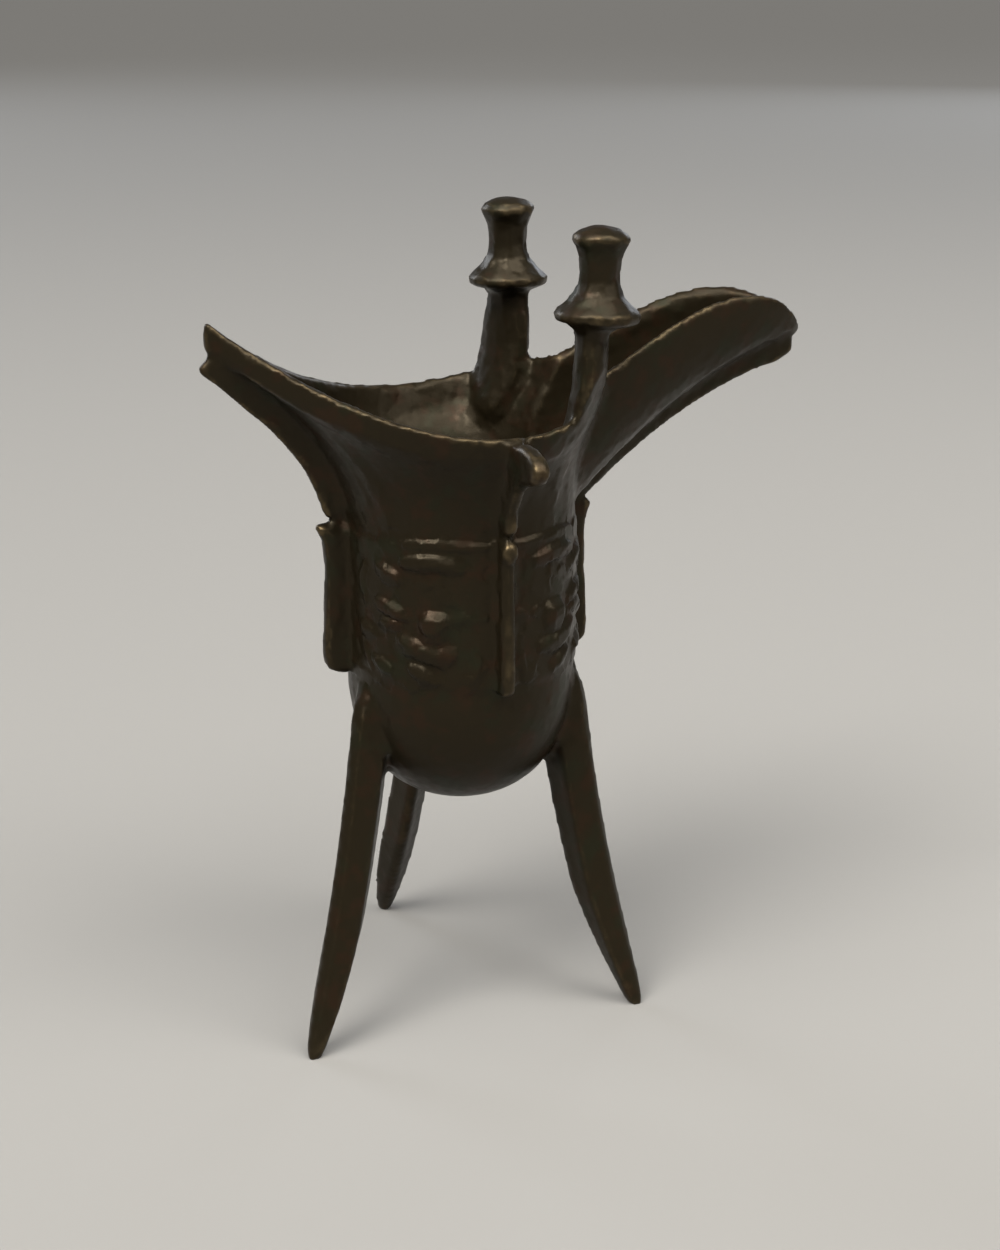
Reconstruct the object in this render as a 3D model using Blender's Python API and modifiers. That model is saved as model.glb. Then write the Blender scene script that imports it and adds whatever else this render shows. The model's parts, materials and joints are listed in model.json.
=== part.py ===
import math

import bmesh
import bpy
from mathutils import Matrix, Vector

# The vessel is one bronze casting, modelled in metres. Its cup has its axis at x = 0, y = 0.
# The spout points along +X, the tail along -X and the handle along +Y.

# Heights, stacked upwards from the ground
BOWL_CLEARANCE = 0.0624
BOWL_DEPTH = 0.0386
BELT_HEIGHT = 0.0420
NECK_HEIGHT = 0.0283

# Cup
BELLY_HALF_LENGTH = 0.0320
BELLY_HALF_WIDTH = 0.0312
BOWL_POWER = 2.35
BELT_STEP = 0.0007
STEP_HEIGHT = 0.0008
WALL = 0.0027

# Mouth, seen from above: an oval in front and a drawn-out leaf behind
MOUTH_CENTRE = 0.0050
MOUTH_HALF_WIDTH = 0.0415
MOUTH_FRONT = 0.0385
TAIL_REACH = 0.0675
TAIL_RISE = 0.0272
TAIL_EDGE = 0.0032
LEAF_POWER = 2.9
RIM_LOW_SETBACK = 0.0020
LIP_HEIGHT = 0.0072
LIP_FLARE = 0.0028
LIP_STEP = 0.0005

# Spout, an open trough
SPOUT_REACH = 0.1020
SPOUT_RISE = 0.0266
SPOUT_CREST_X = 0.0790
SPOUT_TIP_DROP = 0.0110
SPOUT_TIP_POWER = 2.8
SPOUT_ROOT_X = 0.0220
SPOUT_ROOT_HALF_WIDTH = 0.0190
SPOUT_TAPER = 0.142
SPOUT_ROUND_X = 0.0800
SPOUT_FLOOR_START = 0.0019
SPOUT_FLOOR_SLOPE = 0.98
SPOUT_TIP_THICKNESS = 0.0018
SPOUT_WALL = 0.0034
SPOUT_LIP_CHAMFER = 0.0022

# Posts that stand on the mouth's rim
POST_X = 0.0264
POST_Y = 0.0312
POST_HEIGHT = 0.0519
POST_HALF_BREADTH = 0.00625
POST_HALF_THICKNESS = 0.00465
POST_FOOT_SPREAD = 1.26
POST_FOOT_SHIFT = 0.0064
POST_TURN = math.radians(-58)
CAP_HEIGHT = 0.0240
FRONT_POST_DROP = 0.0013
FRONT_CAP_LEAN = math.radians(2.5)
CAP_FLANGE_RADIUS = 0.0111
CAP_WAIST_RADIUS = 0.0052
CAP_CROWN_RADIUS = 0.0073

# Flanges and keels, the raised blades where the casting mould was parted
FLANGE_THICKNESS = 0.0034
KEEL_THICKNESS = 0.0030
FLANGE_REACH = 0.0063
SPOUT_FLANGE_REACH = 0.0051
HOOK_REACH = 0.0290
BACK_HOOK_REACH = 0.0130
TAIL_KEEL_DEPTH = 0.0068
SPOUT_KEEL_DEPTH = 0.0049

# Legs, three blades with a blunt ridge outside: under the tail, under the handle and under the spout
TAIL_LEG_REACH = 0.0600
HANDLE_LEG_REACH = 0.0596
SPOUT_LEG_REACH = 0.0532
LEG_HEAD_RADIUS = 0.0331
LEG_HEAD_TAPER = 0.0040
LEG_BOW = 0.0024
LEG_WIDTH = 0.0114
LEG_TIP_WIDTH = 0.0018
LEG_ROUND = 0.0320
LEG_DEPTH = 0.0124
LEG_TIP_DEPTH = 0.0032
LEG_BACK_EDGE = 0.0021

# Handle
HANDLE_REACH = 0.0195
HANDLE_WIDTH = 0.0100
HANDLE_THICKNESS = 0.0038
HANDLE_TOP_INSET = 0.0055
HANDLE_HEIGHT = 0.0330

# Mask relief on the belt
RELIEF_HEIGHT = 0.0013
RELIEF_SINK = 0.0009
STROKE_WIDTH = 0.0030
MASK_REACH = 0.0400
EYE_ARC = 0.0177
EYE_RISE = 0.0206
EYE_LENGTH = 0.0078
EYE_HEIGHT = 0.0058

# Mesh fineness
CUP_COLUMNS = 48
CAVITY_COLUMNS = 40
CAP_SIDES = 18
SHAFT_SIDES = 14
EYE_SIDES = 10
LEAST_EDGE = 0.0004
BRONZE = (0.105, 0.085, 0.055, 1.0)

# The cup's wall runs on over the rim, widening, until it is trimmed along the rim line
TRIM_FLARE = 0.0034
TRIM_RISE = 0.0100

BELT_BOTTOM = BOWL_CLEARANCE + BOWL_DEPTH
WAIST = BELT_BOTTOM + BELT_HEIGHT
RIM_LOW = WAIST + NECK_HEIGHT
POST_TOP = RIM_LOW + POST_HEIGHT
CAP_BASE = POST_TOP - CAP_HEIGHT
ABOVE_RIM = POST_TOP - 0.4 * CAP_HEIGHT


def clear_scene():
    for old in list(bpy.data.objects):
        bpy.data.objects.remove(old, do_unlink=True)


def make_collection(name):
    collection = bpy.data.collections.new(name)
    bpy.context.scene.collection.children.link(collection)
    return collection


def bronze_material():
    material = bpy.data.materials.new("bronze")
    material.use_nodes = True
    shader = material.node_tree.nodes["Principled BSDF"]
    shader.inputs["Base Color"].default_value = BRONZE
    shader.inputs["Roughness"].default_value = 0.45
    shader.inputs["Metallic"].default_value = 0.7
    return material


def add_object(name, mesh, collection):
    made = bpy.data.objects.new(name, mesh)
    collection.objects.link(made)
    return made


def closed_mesh(name, bm):
    """Welds, turns the faces outwards and gives the mesh."""
    bmesh.ops.remove_doubles(bm, verts=bm.verts, dist=1e-6)
    bmesh.ops.recalc_face_normals(bm, faces=bm.faces)
    mesh = bpy.data.meshes.new(name)
    bm.to_mesh(mesh)
    bm.free()
    return mesh


def add_loft(bm, rings):
    """Skins rings that have the same number of points and closes both ends."""
    rows = [[bm.verts.new(point) for point in ring] for ring in rings]
    count = len(rows[0])
    for low, high in zip(rows, rows[1:]):
        for i in range(count):
            j = (i + 1) % count
            bm.faces.new((low[i], low[j], high[j], high[i]))
    bm.faces.new(rows[0][::-1])
    bm.faces.new(rows[-1])


def loft(name, rings, collection):
    bm = bmesh.new()
    add_loft(bm, rings)
    return add_object(name, closed_mesh(name, bm), collection)


def plate(name, outline, thickness, collection, along="Y"):
    """A flat outline in the plane of Z and one level axis, given its thickness along the other."""
    curve = bpy.data.curves.new(name, "CURVE")
    curve.dimensions = "2D"
    curve.fill_mode = "BOTH"
    curve.extrude = thickness / 2
    spline = curve.splines.new("POLY")
    spline.points.add(len(outline) - 1)
    spline.use_cyclic_u = True
    for point, (across, height) in zip(spline.points, outline):
        point.co = (across, height, 0, 1)
    drawn = add_object(name + "_outline", curve, collection)
    upright = Matrix.Rotation(math.radians(90), 4, "X")
    turn = 0 if along == "Y" else math.radians(90)
    drawn.matrix_world = Matrix.Rotation(turn, 4, "Z") @ upright
    return meshed(drawn, name, collection)


def meshed(drawn, name, collection):
    """The object's evaluated shape as a welded mesh object in the same place."""
    bpy.context.view_layer.update()
    graph = bpy.context.evaluated_depsgraph_get()
    bm = bmesh.new()
    bm.from_mesh(bpy.data.meshes.new_from_object(drawn.evaluated_get(graph)))
    bm.transform(drawn.matrix_world)
    bpy.data.objects.remove(drawn, do_unlink=True)
    return add_object(name, closed_mesh(name, bm), collection)


def combine(target, tool, operation, solver="EXACT"):
    """Joins the tool to the target or cuts it away, and removes the tool."""
    modifier = target.modifiers.new(operation.lower(), "BOOLEAN")
    modifier.operation = operation
    modifier.solver = solver
    modifier.object = tool
    bpy.context.view_layer.update()
    graph = bpy.context.evaluated_depsgraph_get()
    result = bpy.data.meshes.new_from_object(target.evaluated_get(graph))
    target.modifiers.clear()
    target.data = result
    bpy.data.objects.remove(tool, do_unlink=True)


def smoothstep(u):
    u = min(max(u, 0.0), 1.0)
    return u * u * (3 - 2 * u)


def rim_height(x):
    """Height of the rim's top above the ground, the same on both sides of the vessel."""
    if x <= -RIM_LOW_SETBACK:
        return RIM_LOW + TAIL_RISE * ((-RIM_LOW_SETBACK - x) / (TAIL_REACH - RIM_LOW_SETBACK)) ** 2
    if x <= SPOUT_CREST_X:
        along = (x + RIM_LOW_SETBACK) / (SPOUT_CREST_X + RIM_LOW_SETBACK)
        return RIM_LOW + SPOUT_RISE * smoothstep(along**1.15)
    past = (x - SPOUT_CREST_X) / (SPOUT_REACH - SPOUT_CREST_X)
    return RIM_LOW + SPOUT_RISE - SPOUT_TIP_DROP * past**SPOUT_TIP_POWER


def mouth_point(angle, inset):
    """A point of the mouth seen from above, moved inwards by the inset."""
    c = math.cos(angle)
    s = math.sin(angle)
    half_width = MOUTH_HALF_WIDTH - inset
    if c >= 0:
        return MOUTH_CENTRE + (MOUTH_FRONT - MOUTH_CENTRE - inset) * c, half_width * s
    edge = max(TAIL_EDGE / 2 - inset, LEAST_EDGE)
    leaf =(half_width - edge) * abs(s) ** LEAF_POWER + edge * abs(s) ** 0.35
    reach = TAIL_REACH + MOUTH_CENTRE - 2.1 * inset
    return MOUTH_CENTRE + reach * c, math.copysign(leaf, s)


def cup_column(angle, wall, top):
    """One line up the cup's surface, from the lowest ring of the bowl to the top."""
    c = math.cos(angle)
    s = math.sin(angle)
    length = BELLY_HALF_LENGTH - wall
    width = BELLY_HALF_WIDTH - wall
    step = 0 if wall else BELT_STEP
    depth = BOWL_DEPTH - wall
    points = []
    for k in (0.992, 0.95, 0.85, 0.68, 0.45, 0.20):
        z = BELT_BOTTOM - depth * k
        share = (1 - k**BOWL_POWER) ** (1 / BOWL_POWER)
        points.append(((length - step) * share * c, (width - step) * share * s, z))
    belt = [(0, -step), (STEP_HEIGHT, 0), (BELT_HEIGHT - STEP_HEIGHT, 0), (BELT_HEIGHT, -step)]
    for rise, out in belt[::3] if wall else belt:
        points.append(((length + out) * c, (width + out) * s, BELT_BOTTOM + rise))
    foot = Vector(points[-1])
    lip_x, lip_y = mouth_point(angle, wall)
    flare = 1 - LIP_FLARE / MOUTH_HALF_WIDTH
    floor_lift = 0.5 * wall * max(-c, 0) ** 4
    rim = rim_height(lip_x)
    band = Vector((lip_x * (1 if c < 0 else flare), lip_y * flare, rim - LIP_HEIGHT + floor_lift))
    for t in (0.2, 0.4, 0.58, 0.74, 0.88, 1.0):
        level = t * t
        points.append(
            (
                foot.x + (band.x - foot.x) * level,
                foot.y + (band.y - foot.y) * level,
                foot.z + (band.z - foot.z) * t,
            )
        )
    out = 0 if wall else LIP_STEP
    points.append((band.x + out * c, band.y + out * s, band.z + STEP_HEIGHT))
    points.append((lip_x, lip_y, rim))
    points.append((lip_x + TRIM_FLARE * c, lip_y + TRIM_FLARE * s, rim + TRIM_RISE))
    points.append((lip_x + 1.5 * TRIM_FLARE * c, lip_y + 1.5 * TRIM_FLARE * s, top))
    return points


def cup_solid(name, columns, wall, top, collection):
    lines = [cup_column(2 * math.pi * i / columns, wall, top) for i in range(columns)]
    return loft(name, list(zip(*lines)), collection)


def spout_half_width(x):
    width = SPOUT_ROOT_HALF_WIDTH - SPOUT_TAPER * (x - SPOUT_ROOT_X)
    if x > SPOUT_ROUND_X:
        past = (x - SPOUT_ROUND_X) / (SPOUT_REACH - SPOUT_ROUND_X)
        width *= math.sqrt(max(1 - past**2, 0.0))
    return width


def spout_floor(x):
    """Height of the spout's underside on the middle line."""
    run = SPOUT_REACH - BELLY_HALF_LENGTH
    tip = rim_height(SPOUT_REACH) - SPOUT_TIP_THICKNESS
    start = WAIST + SPOUT_FLOOR_START
    bend = (SPOUT_FLOOR_SLOPE * run - (tip - start)) / run**2
    d = x - BELLY_HALF_LENGTH
    return start + SPOUT_FLOOR_SLOPE * d - bend * d * d


def trough_section(x, half_width, floor, side, steps=10):
    """The lower edge of a trough, from its +Y side round to its -Y side."""
    points = []
    for i in range(steps + 1):
        beta = math.pi * i / steps
        across = math.copysign(abs(math.cos(beta)) ** 0.8, math.cos(beta))
        down = math.sin(beta) ** 0.8 if 0 < i < steps else 0
        points.append((x, half_width * across, side - (side - floor) * down))
    return points


def spout_stations(end):
    """Places along the spout, closer together where its tip is rounded."""
    straight = [SPOUT_ROOT_X + (SPOUT_ROUND_X - SPOUT_ROOT_X) * i / 7 for i in range(8)]
    curved = [math.sin(math.radians(a)) for a in (24, 42, 57, 69, 79, 86)]
    return straight + [SPOUT_ROUND_X + (end - SPOUT_ROUND_X) * c for c in curved]


def spout_solid(collection):
    rings = []
    for x in spout_stations(SPOUT_REACH):
        half_width = max(spout_half_width(x), 1.5 * LEAST_EDGE)
        low = trough_section(x, half_width, spout_floor(x), rim_height(x))
        top = ABOVE_RIM - WALL
        rings.append([(x, half_width, top)] + low + [(x, -half_width, top)])
    return loft("spout", rings, collection)


def spout_channel(collection):
    """The hollow of the spout, with the lip's inner edge cut back."""
    rings = []
    for x in [SPOUT_ROOT_X - SPOUT_WALL] + spout_stations(SPOUT_REACH - 0.4 * SPOUT_WALL):
        half_width = max(spout_half_width(x) - SPOUT_WALL, LEAST_EDGE)
        lip = half_width + 0.6 * SPOUT_WALL
        rim = rim_height(x)
        floor = spout_floor(x) + 1.15 * WALL
        side = max(rim - SPOUT_LIP_CHAMFER, floor + LEAST_EDGE)
        low = trough_section(x, half_width, floor, side)
        mouth = max(rim, side + LEAST_EDGE)
        top = ABOVE_RIM + 2 * WALL
        rings.append(
            [(x, lip, top), (x, lip, mouth)] + low + [(x, -lip, mouth), (x, -lip, top)]
        )
    return loft("channel", rings, collection)


def above_rim(collection):
    """Everything above the rim line, to be cut away."""
    steps = 40
    length = TAIL_REACH + SPOUT_REACH
    line = [(x, rim_height(x)) for x in (length * i / steps - TAIL_REACH for i in range(steps + 1))]
    beyond = 0.1 * length
    first = (-TAIL_REACH - beyond, rim_height(-TAIL_REACH))
    last = (SPOUT_REACH + beyond, rim_height(SPOUT_REACH))
    top = POST_TOP + beyond
    outline = [first] + line + [last, (last[0], top), (first[0], top)]
    return plate("above_rim", outline, 4 * MOUTH_HALF_WIDTH, collection)


# A belt flange from its foot upwards: shares of its reach and of the belt's height
FLANGE_PROFILE = (
    (0.45, 0.03),
    (0.90, 0.07),
    (1.07, 0.14),
    (1.12, 0.26),
    (1.00, 0.42),
    (0.93, 0.58),
    (0.94, 0.76),
    (1.08, 0.90),
    (1.33, 0.985),
    (1.25, 1.005),
    (0.50, 1.015),
)


def belt_flange(side, reach, collection):
    """A blade on the belt at the spout (1, 0), the tail (-1, 0) or the front (0, -1)."""
    across = side[0] + side[1]
    surface = BELLY_HALF_LENGTH if side[0] else BELLY_HALF_WIDTH
    inner = surface - 0.5 * BELLY_HALF_WIDTH
    outline = [(across * inner, BELT_BOTTOM)]
    for out, up in FLANGE_PROFILE:
        outline.append((across * (surface + out * reach), BELT_BOTTOM + up * BELT_HEIGHT))
    outline.append((across * inner, WAIST))
    along = "Y" if side[0] else "X"
    return plate("belt_flange", outline, FLANGE_THICKNESS, collection, along)


# A neck flange from its foot upwards: shares of its reach and of the neck's height
HOOK_PROFILE = (
    (0.23, -0.035),
    (0.31, 0.11),
    (0.325, 0.25),
    (0.39, 0.37),
    (0.50, 0.49),
    (0.62, 0.60),
    (0.90, 0.67),
    (0.975, 0.72),
    (1.00, 0.79),
    (0.965, 0.86),
    (0.87, 0.93),
    (0.72, 0.97),
    (0.50, 0.965),
    (0.30, 0.90),
)


def neck_flange(side, reach, collection):
    """The blade on the neck, which ends in a hook just under the rim."""
    inner = 0.5 * BELLY_HALF_WIDTH
    outline = [(side * inner, WAIST + HOOK_PROFILE[0][1] * NECK_HEIGHT)]
    for out, up in HOOK_PROFILE:
        outline.append((side * (BELLY_HALF_WIDTH + out * reach), WAIST + up * NECK_HEIGHT))
    outline.append((side * inner, WAIST + HOOK_PROFILE[-1][1] * NECK_HEIGHT))
    return plate("neck_flange", outline, KEEL_THICKNESS, collection, "X")


def tail_line(t, out):
    """A point on the tail's underside at share t of its climb, moved out square to it."""
    run = TAIL_REACH - BELLY_HALF_LENGTH
    climb = RIM_LOW + TAIL_RISE - LIP_HEIGHT - WAIST
    x = BELLY_HALF_LENGTH + run * t * t
    z = WAIST + climb * t
    slope = Vector((2 * run * t, climb)).normalized()
    return -(x + slope.y * out), z - slope.x * out


def tail_keel(collection):
    steps = 12
    outer = []
    for i in range(steps + 1):
        t = i / steps
        outer.append(tail_line(t, TAIL_KEEL_DEPTH * min(0.8 + t, 1.0) * (1 - 0.34 * t * t)))
    tip = rim_height(-TAIL_REACH) - LIP_HEIGHT
    inner = [tail_line(i / steps, -1.5 * WALL) for i in range(steps, -1, -1)]
    end = [(-TAIL_REACH - LEAST_EDGE, tip - 0.5 * KEEL_THICKNESS), (-TAIL_REACH + LEAST_EDGE, tip)]
    return plate("tail_keel", outer + end + inner, KEEL_THICKNESS, collection)


def spout_keel(collection):
    steps = 12
    run = SPOUT_REACH - SPOUT_TIP_THICKNESS - BELLY_HALF_LENGTH
    outer = []
    inner = []
    for i in range(steps + 1):
        x = BELLY_HALF_LENGTH + run * i / steps
        depth = SPOUT_KEEL_DEPTH * (0.55 if i == steps else 1.0)
        outer.append((x, spout_floor(x) - depth))
        inner.append((x, spout_floor(x) + 0.3 * WALL))
    low = (BELLY_HALF_LENGTH + 0.5 * SPOUT_KEEL_DEPTH, WAIST - 1.4 * STEP_HEIGHT)
    root = (0.6 * BELLY_HALF_LENGTH, WAIST - 1.4 * STEP_HEIGHT)
    outline = [root, low] + outer[1:] + inner[::-1]
    return plate("spout_keel", outline, KEEL_THICKNESS, collection)


# Each leg's head, foot and ridge as directions from above, in degrees, and its foot's reach
LEGS = (
    (196.0, 205.3, 213.0, TAIL_LEG_REACH),
    (84.0, 95.4, 78.0, HANDLE_LEG_REACH),
    (336.0, 325.5, 318.0, SPOUT_LEG_REACH),
)


def level_direction(degrees):
    return Vector((math.cos(math.radians(degrees)), math.sin(math.radians(degrees))))


def leg(place, collection):
    """A blade whose section is a kite: a blunt outer ridge, two corners and a back edge."""
    head_angle, foot_angle, turn, reach = place
    head = level_direction(head_angle) * LEG_HEAD_RADIUS
    foot = level_direction(foot_angle) * reach
    outwards = level_direction(turn)
    across = Vector((-outwards.y, outwards.x))
    tip = 0.035
    rings = []
    for share in (0, tip / 3, tip, 0.08, 0.14, 0.22, 0.34, 0.50, 0.68, 0.84, 0.96, 1.08):
        z = BELT_BOTTOM * share
        depth = LEG_TIP_DEPTH + (LEG_DEPTH - LEG_TIP_DEPTH) * math.sqrt(min(share / 0.36, 1.0))
        rounding = max(1 - z / LEG_ROUND, 0.0)
        width = LEG_TIP_WIDTH + (LEG_WIDTH - LEG_TIP_WIDTH) * math.sqrt(1 - rounding**2)
        tip_round = 0.3 * LEG_TIP_DEPTH * max(1 - share / tip, 0.0)
        sunk = LEG_HEAD_TAPER * max(share - 0.96, 0.0) / 0.12
        bow = LEG_BOW * math.sin(math.pi * min(share, 1.0))
        ridge = foot.lerp(head, min(share, 1.0)) - outwards * (bow + tip_round + sunk)
        edge = min(LEG_BACK_EDGE, 0.6 * width)
        section = [
            (0, 0.16 * width),
            (0.42 * depth, 0.5 * width),
            (depth, edge / 2),
            (depth, -edge / 2),
            (0.42 * depth, -0.5 * width),
            (0, -0.16 * width),
        ]
        rings.append([(*(ridge - outwards * back + across * side), z) for back, side in section])
    return loft("leg", rings, collection)


def handle(collection):
    """A strap on the +Y side: a flat bar swept round a D, both ends inside the wall."""
    top = WAIST - HANDLE_TOP_INSET
    low = top - HANDLE_HEIGHT
    root = BELLY_HALF_WIDTH - 0.3 * BELLY_HALF_WIDTH
    reach = BELLY_HALF_WIDTH + HANDLE_REACH - HANDLE_THICKNESS / 2
    radius = 0.40 * HANDLE_HEIGHT
    path = [(root, top)]
    for i in range(7):
        a = math.radians(90 - 15 * i)
        path.append((reach - radius + radius * math.cos(a), top - radius + radius * math.sin(a)))
    for i in range(1, 6):
        a = math.radians(-14 * i)
        path.append((reach - radius + radius * math.cos(a), low + radius + radius * math.sin(a)))
    path.append((root, low))
    rings = []
    for i, (y, z) in enumerate(path):
        y0, z0 = path[max(i - 1, 0)]
        y1, z1 = path[min(i + 1, len(path) - 1)]
        along = Vector((y1 - y0, z1 - z0)).normalized()
        half = HANDLE_THICKNESS / 2
        inside = (y + along.y * half, z - along.x * half)
        outside = (y - along.y * half, z + along.x * half)
        wide = HANDLE_WIDTH / 2
        rings.append(
            [
                (-wide, *inside),
                (wide, *inside),
                (wide, *outside),
                (0.45 * wide, outside[0] - along.y * 0.25 * half, outside[1] + along.x * 0.25 * half),
                (-0.45 * wide, outside[0] - along.y * 0.25 * half, outside[1] + along.x * 0.25 * half),
                (-wide, *outside),
            ]
        )
    return loft("handle", rings, collection)


def cap_profile():
    """Radius and height above the cap's base, from the top down."""
    crown = CAP_CROWN_RADIUS
    waist = CAP_WAIST_RADIUS
    flange = CAP_FLANGE_RADIUS
    height = CAP_HEIGHT
    return [
        (0, height),
        (0.55 * crown, 0.975 * height),
        (0.86 * crown, 0.925 * height),
        (crown, 0.865 * height),
        (0.90 * crown, 0.80 * height),
        (1.07 * waist, 0.70 * height),
        (waist, 0.58 * height),
        (waist, 0.42 * height),
        (1.14 * waist, 0.32 * height),
        (0.66 * flange, 0.24 * height),
        (0.84 * flange, 0.155 * height),
        (flange, 0.085 * height),
        (0.97 * flange, 0.035 * height),
        (0.62 * flange, 0.0),
        (0, 0.0),
    ]


def post_drop(side):
    """The front post of the two was cast a little lower."""
    return FRONT_POST_DROP if side < 0 else 0.0


def post_cap(side, collection):
    mesh = bpy.data.meshes.new("cap_profile")
    points = [(r, 0, z) for r, z in cap_profile()]
    mesh.from_pydata(points, [(i, i + 1) for i in range(len(points) - 1)], [])
    turned = add_object("cap_profile", mesh, collection)
    turned.location = (POST_X, side * POST_Y, CAP_BASE - post_drop(side))
    turned.rotation_euler = (0, FRONT_CAP_LEAN if side < 0 else 0, 0)
    screw = turned.modifiers.new("turned", "SCREW")
    screw.steps = CAP_SIDES
    screw.render_steps = CAP_SIDES
    screw.use_merge_vertices = True
    screw.merge_threshold = 0.0001
    bpy.context.view_layer.update()
    return meshed(turned, "cap", collection)


# A post's shaft from inside its cap downwards: how far down as a share of its length over the rim,
# how far its foot has shifted towards the tail, and how far it has spread
SHAFT_LEVELS = (
    (-0.09, 0.0, 0.0),
    (0.30, 0.0, 0.0),
    (0.65, 0.06, 0.15),
    (0.98, 0.28, 0.58),
    (1.16, 0.50, 1.0),
    (1.38, 0.75, 0.62),
    (1.62, 1.0, -1.18),
)


def post_shaft(side, collection):
    """A bar of rounded section, its long side along the rim, that runs down the wall's inside."""
    length = CAP_BASE - RIM_LOW
    rings = []
    for down, shift, spread in SHAFT_LEVELS:
        z = CAP_BASE - down * length - (post_drop(side) if down < 0 else 0)
        middle_x = POST_X - POST_FOOT_SHIFT * shift
        middle_y = POST_Y - 0.25 * POST_FOOT_SHIFT * shift**2
        wide = POST_HALF_BREADTH * (1 + (POST_FOOT_SPREAD - 1) * spread)
        ring = []
        for i in range(SHAFT_SIDES):
            a = 2 * math.pi * i / SHAFT_SIDES
            long = wide * math.copysign(abs(math.cos(a)) ** 0.8, math.cos(a))
            short = POST_HALF_THICKNESS * math.copysign(abs(math.sin(a)) ** 0.8, math.sin(a))
            x = middle_x + long * math.cos(POST_TURN) - short * math.sin(POST_TURN)
            y = middle_y + long * math.sin(POST_TURN) + short * math.cos(POST_TURN)
            ring.append((x, side * y, z))
        rings.append(ring)
    return loft("shaft", rings, collection)


def on_belt(arc, z, out, side):
    """A point on the belt's face, its arc measured from the flange and its height over the ground."""
    mean = (BELLY_HALF_LENGTH + BELLY_HALF_WIDTH) / 2
    angle = math.radians(90) - arc / mean
    x = (BELLY_HALF_LENGTH + out) * math.cos(angle)
    y = (BELLY_HALF_WIDTH + out) * math.sin(angle)
    return x, side * y, z


def add_stroke(bm, path, width, side, mirror):
    """A raised bar with sloping sides that follows a path of (arc, height) points on the belt."""
    rings = []
    for i, (arc, z) in enumerate(path):
        before = Vector(path[max(i - 1, 0)])
        after = Vector(path[min(i + 1, len(path) - 1)])
        along = (after - before).normalized()
        normal = Vector((-along.y, along.x))
        end = 0.62 if i in (0, len(path) - 1) else 1.0
        foot = normal * (width / 2 * end)
        crest = normal * (0.27 * width * end)
        height = RELIEF_HEIGHT * (0.8 if end < 1 else 1.0)
        ring = []
        for offset, out in ((foot, -RELIEF_SINK), (crest, height), (-crest, height), (-foot, -RELIEF_SINK)):
            ring.append(on_belt(mirror * (arc + offset.x), z + offset.y, out, side))
        rings.append(ring)
    add_loft(bm, rings)


def curl(centre, radius, start, end, steps):
    """Points round an arc, in degrees, for a stroke's scroll."""
    points = []
    for i in range(steps + 1):
        a = math.radians(start + (end - start) * i / steps)
        points.append((centre[0] + radius * math.cos(a), centre[1] + radius * math.sin(a)))
    return points


def mask_strokes():
    """One half of the mask: paths of (arc from the flange, height on the belt) with their widths,
    the arc as a share of the mask's reach and the height as a share of the belt's."""
    w = STROKE_WIDTH
    return [
        ([(0.263, 0.890), (0.400, 0.905), (0.537, 0.895), (0.637, 0.871)], 1.1 * w),
        ([(0.825, 0.843), (0.745, 0.821), (0.670, 0.776)], w),
        (horn_hook(), 0.8 * w),
        ([(0.850, 0.619), (0.750, 0.590), (0.655, 0.543)], w),
        ([(0.825, 0.479), (0.713, 0.467)], 0.8 * w),
        ([(0.320, 0.524), (0.225, 0.538), (0.125, 0.529)], 0.9 * w),
        ([(0.660, 0.371), (0.562, 0.360), (0.438, 0.324), (0.330, 0.293)], 1.1 * w),
        (cheek_scroll(), 0.8 * w),
        ([(0.585, 0.205), (0.512, 0.169), (0.450, 0.119)], w),
        ([(0.905, 0.224), (0.825, 0.188), (0.745, 0.140)], w),
        ([(1.000, 0.162), (0.910, 0.076)], 0.9 * w),
        ([(1.062, 0.414), (0.938, 0.405)], 0.8 * w),
        ([(0.980, 0.560), (1.012, 0.690), (0.963, 0.810)], 0.8 * w),
    ]


def horn_hook():
    """A thin scroll between the horn and the eye."""
    return [(0.562, 0.776), (0.450, 0.771)] + curl((0.430, 0.700), 0.065, 100, 250, 3)


def cheek_scroll():
    """A small scroll beside the flange, under the nose."""
    return [(0.145, 0.381), (0.150, 0.238)] + curl((0.210, 0.171), 0.060, 170, 340, 3)


def mask_relief(side, collection):
    bm = bmesh.new()
    for mirror in (-1, 1):
        for path, width in mask_strokes():
            placed = [(arc * MASK_REACH, BELT_BOTTOM + up * BELT_HEIGHT) for arc, up in path]
            add_stroke(bm, placed, width, side, mirror)
        add_eye(bm, side, mirror)
    return add_object("mask", closed_mesh("mask", bm), collection)


def add_eye(bm, side, mirror):
    """An oval boss with a smaller flat crown."""
    levels = (
        (1.0, -RELIEF_SINK),
        (0.92, 0.5 * RELIEF_HEIGHT),
        (0.62, 1.35 * RELIEF_HEIGHT),
        (0.25, 1.6 * RELIEF_HEIGHT),
    )
    rings = []
    for share, out in levels:
        ring = []
        for i in range(EYE_SIDES):
            a = 2 * math.pi * i / EYE_SIDES
            arc = EYE_ARC + share * EYE_LENGTH / 2 * math.cos(a)
            z = BELT_BOTTOM + EYE_RISE + share * EYE_HEIGHT / 2 * math.sin(a)
            ring.append(on_belt(mirror * arc, z, out, side))
        rings.append(ring)
    add_loft(bm, rings)


def rest_on_origin(vessel):
    """Moves the mesh so that the middle of its outline from above, on the ground, is the origin."""
    corners = [vertex.co for vertex in vessel.data.vertices]
    low = Vector(min(c[i] for c in corners) for i in range(3))
    high = Vector(max(c[i] for c in corners) for i in range(3))
    vessel.data.transform(Matrix.Translation((-(low.x + high.x) / 2, -(low.y + high.y) / 2, -low.z)))


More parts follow.
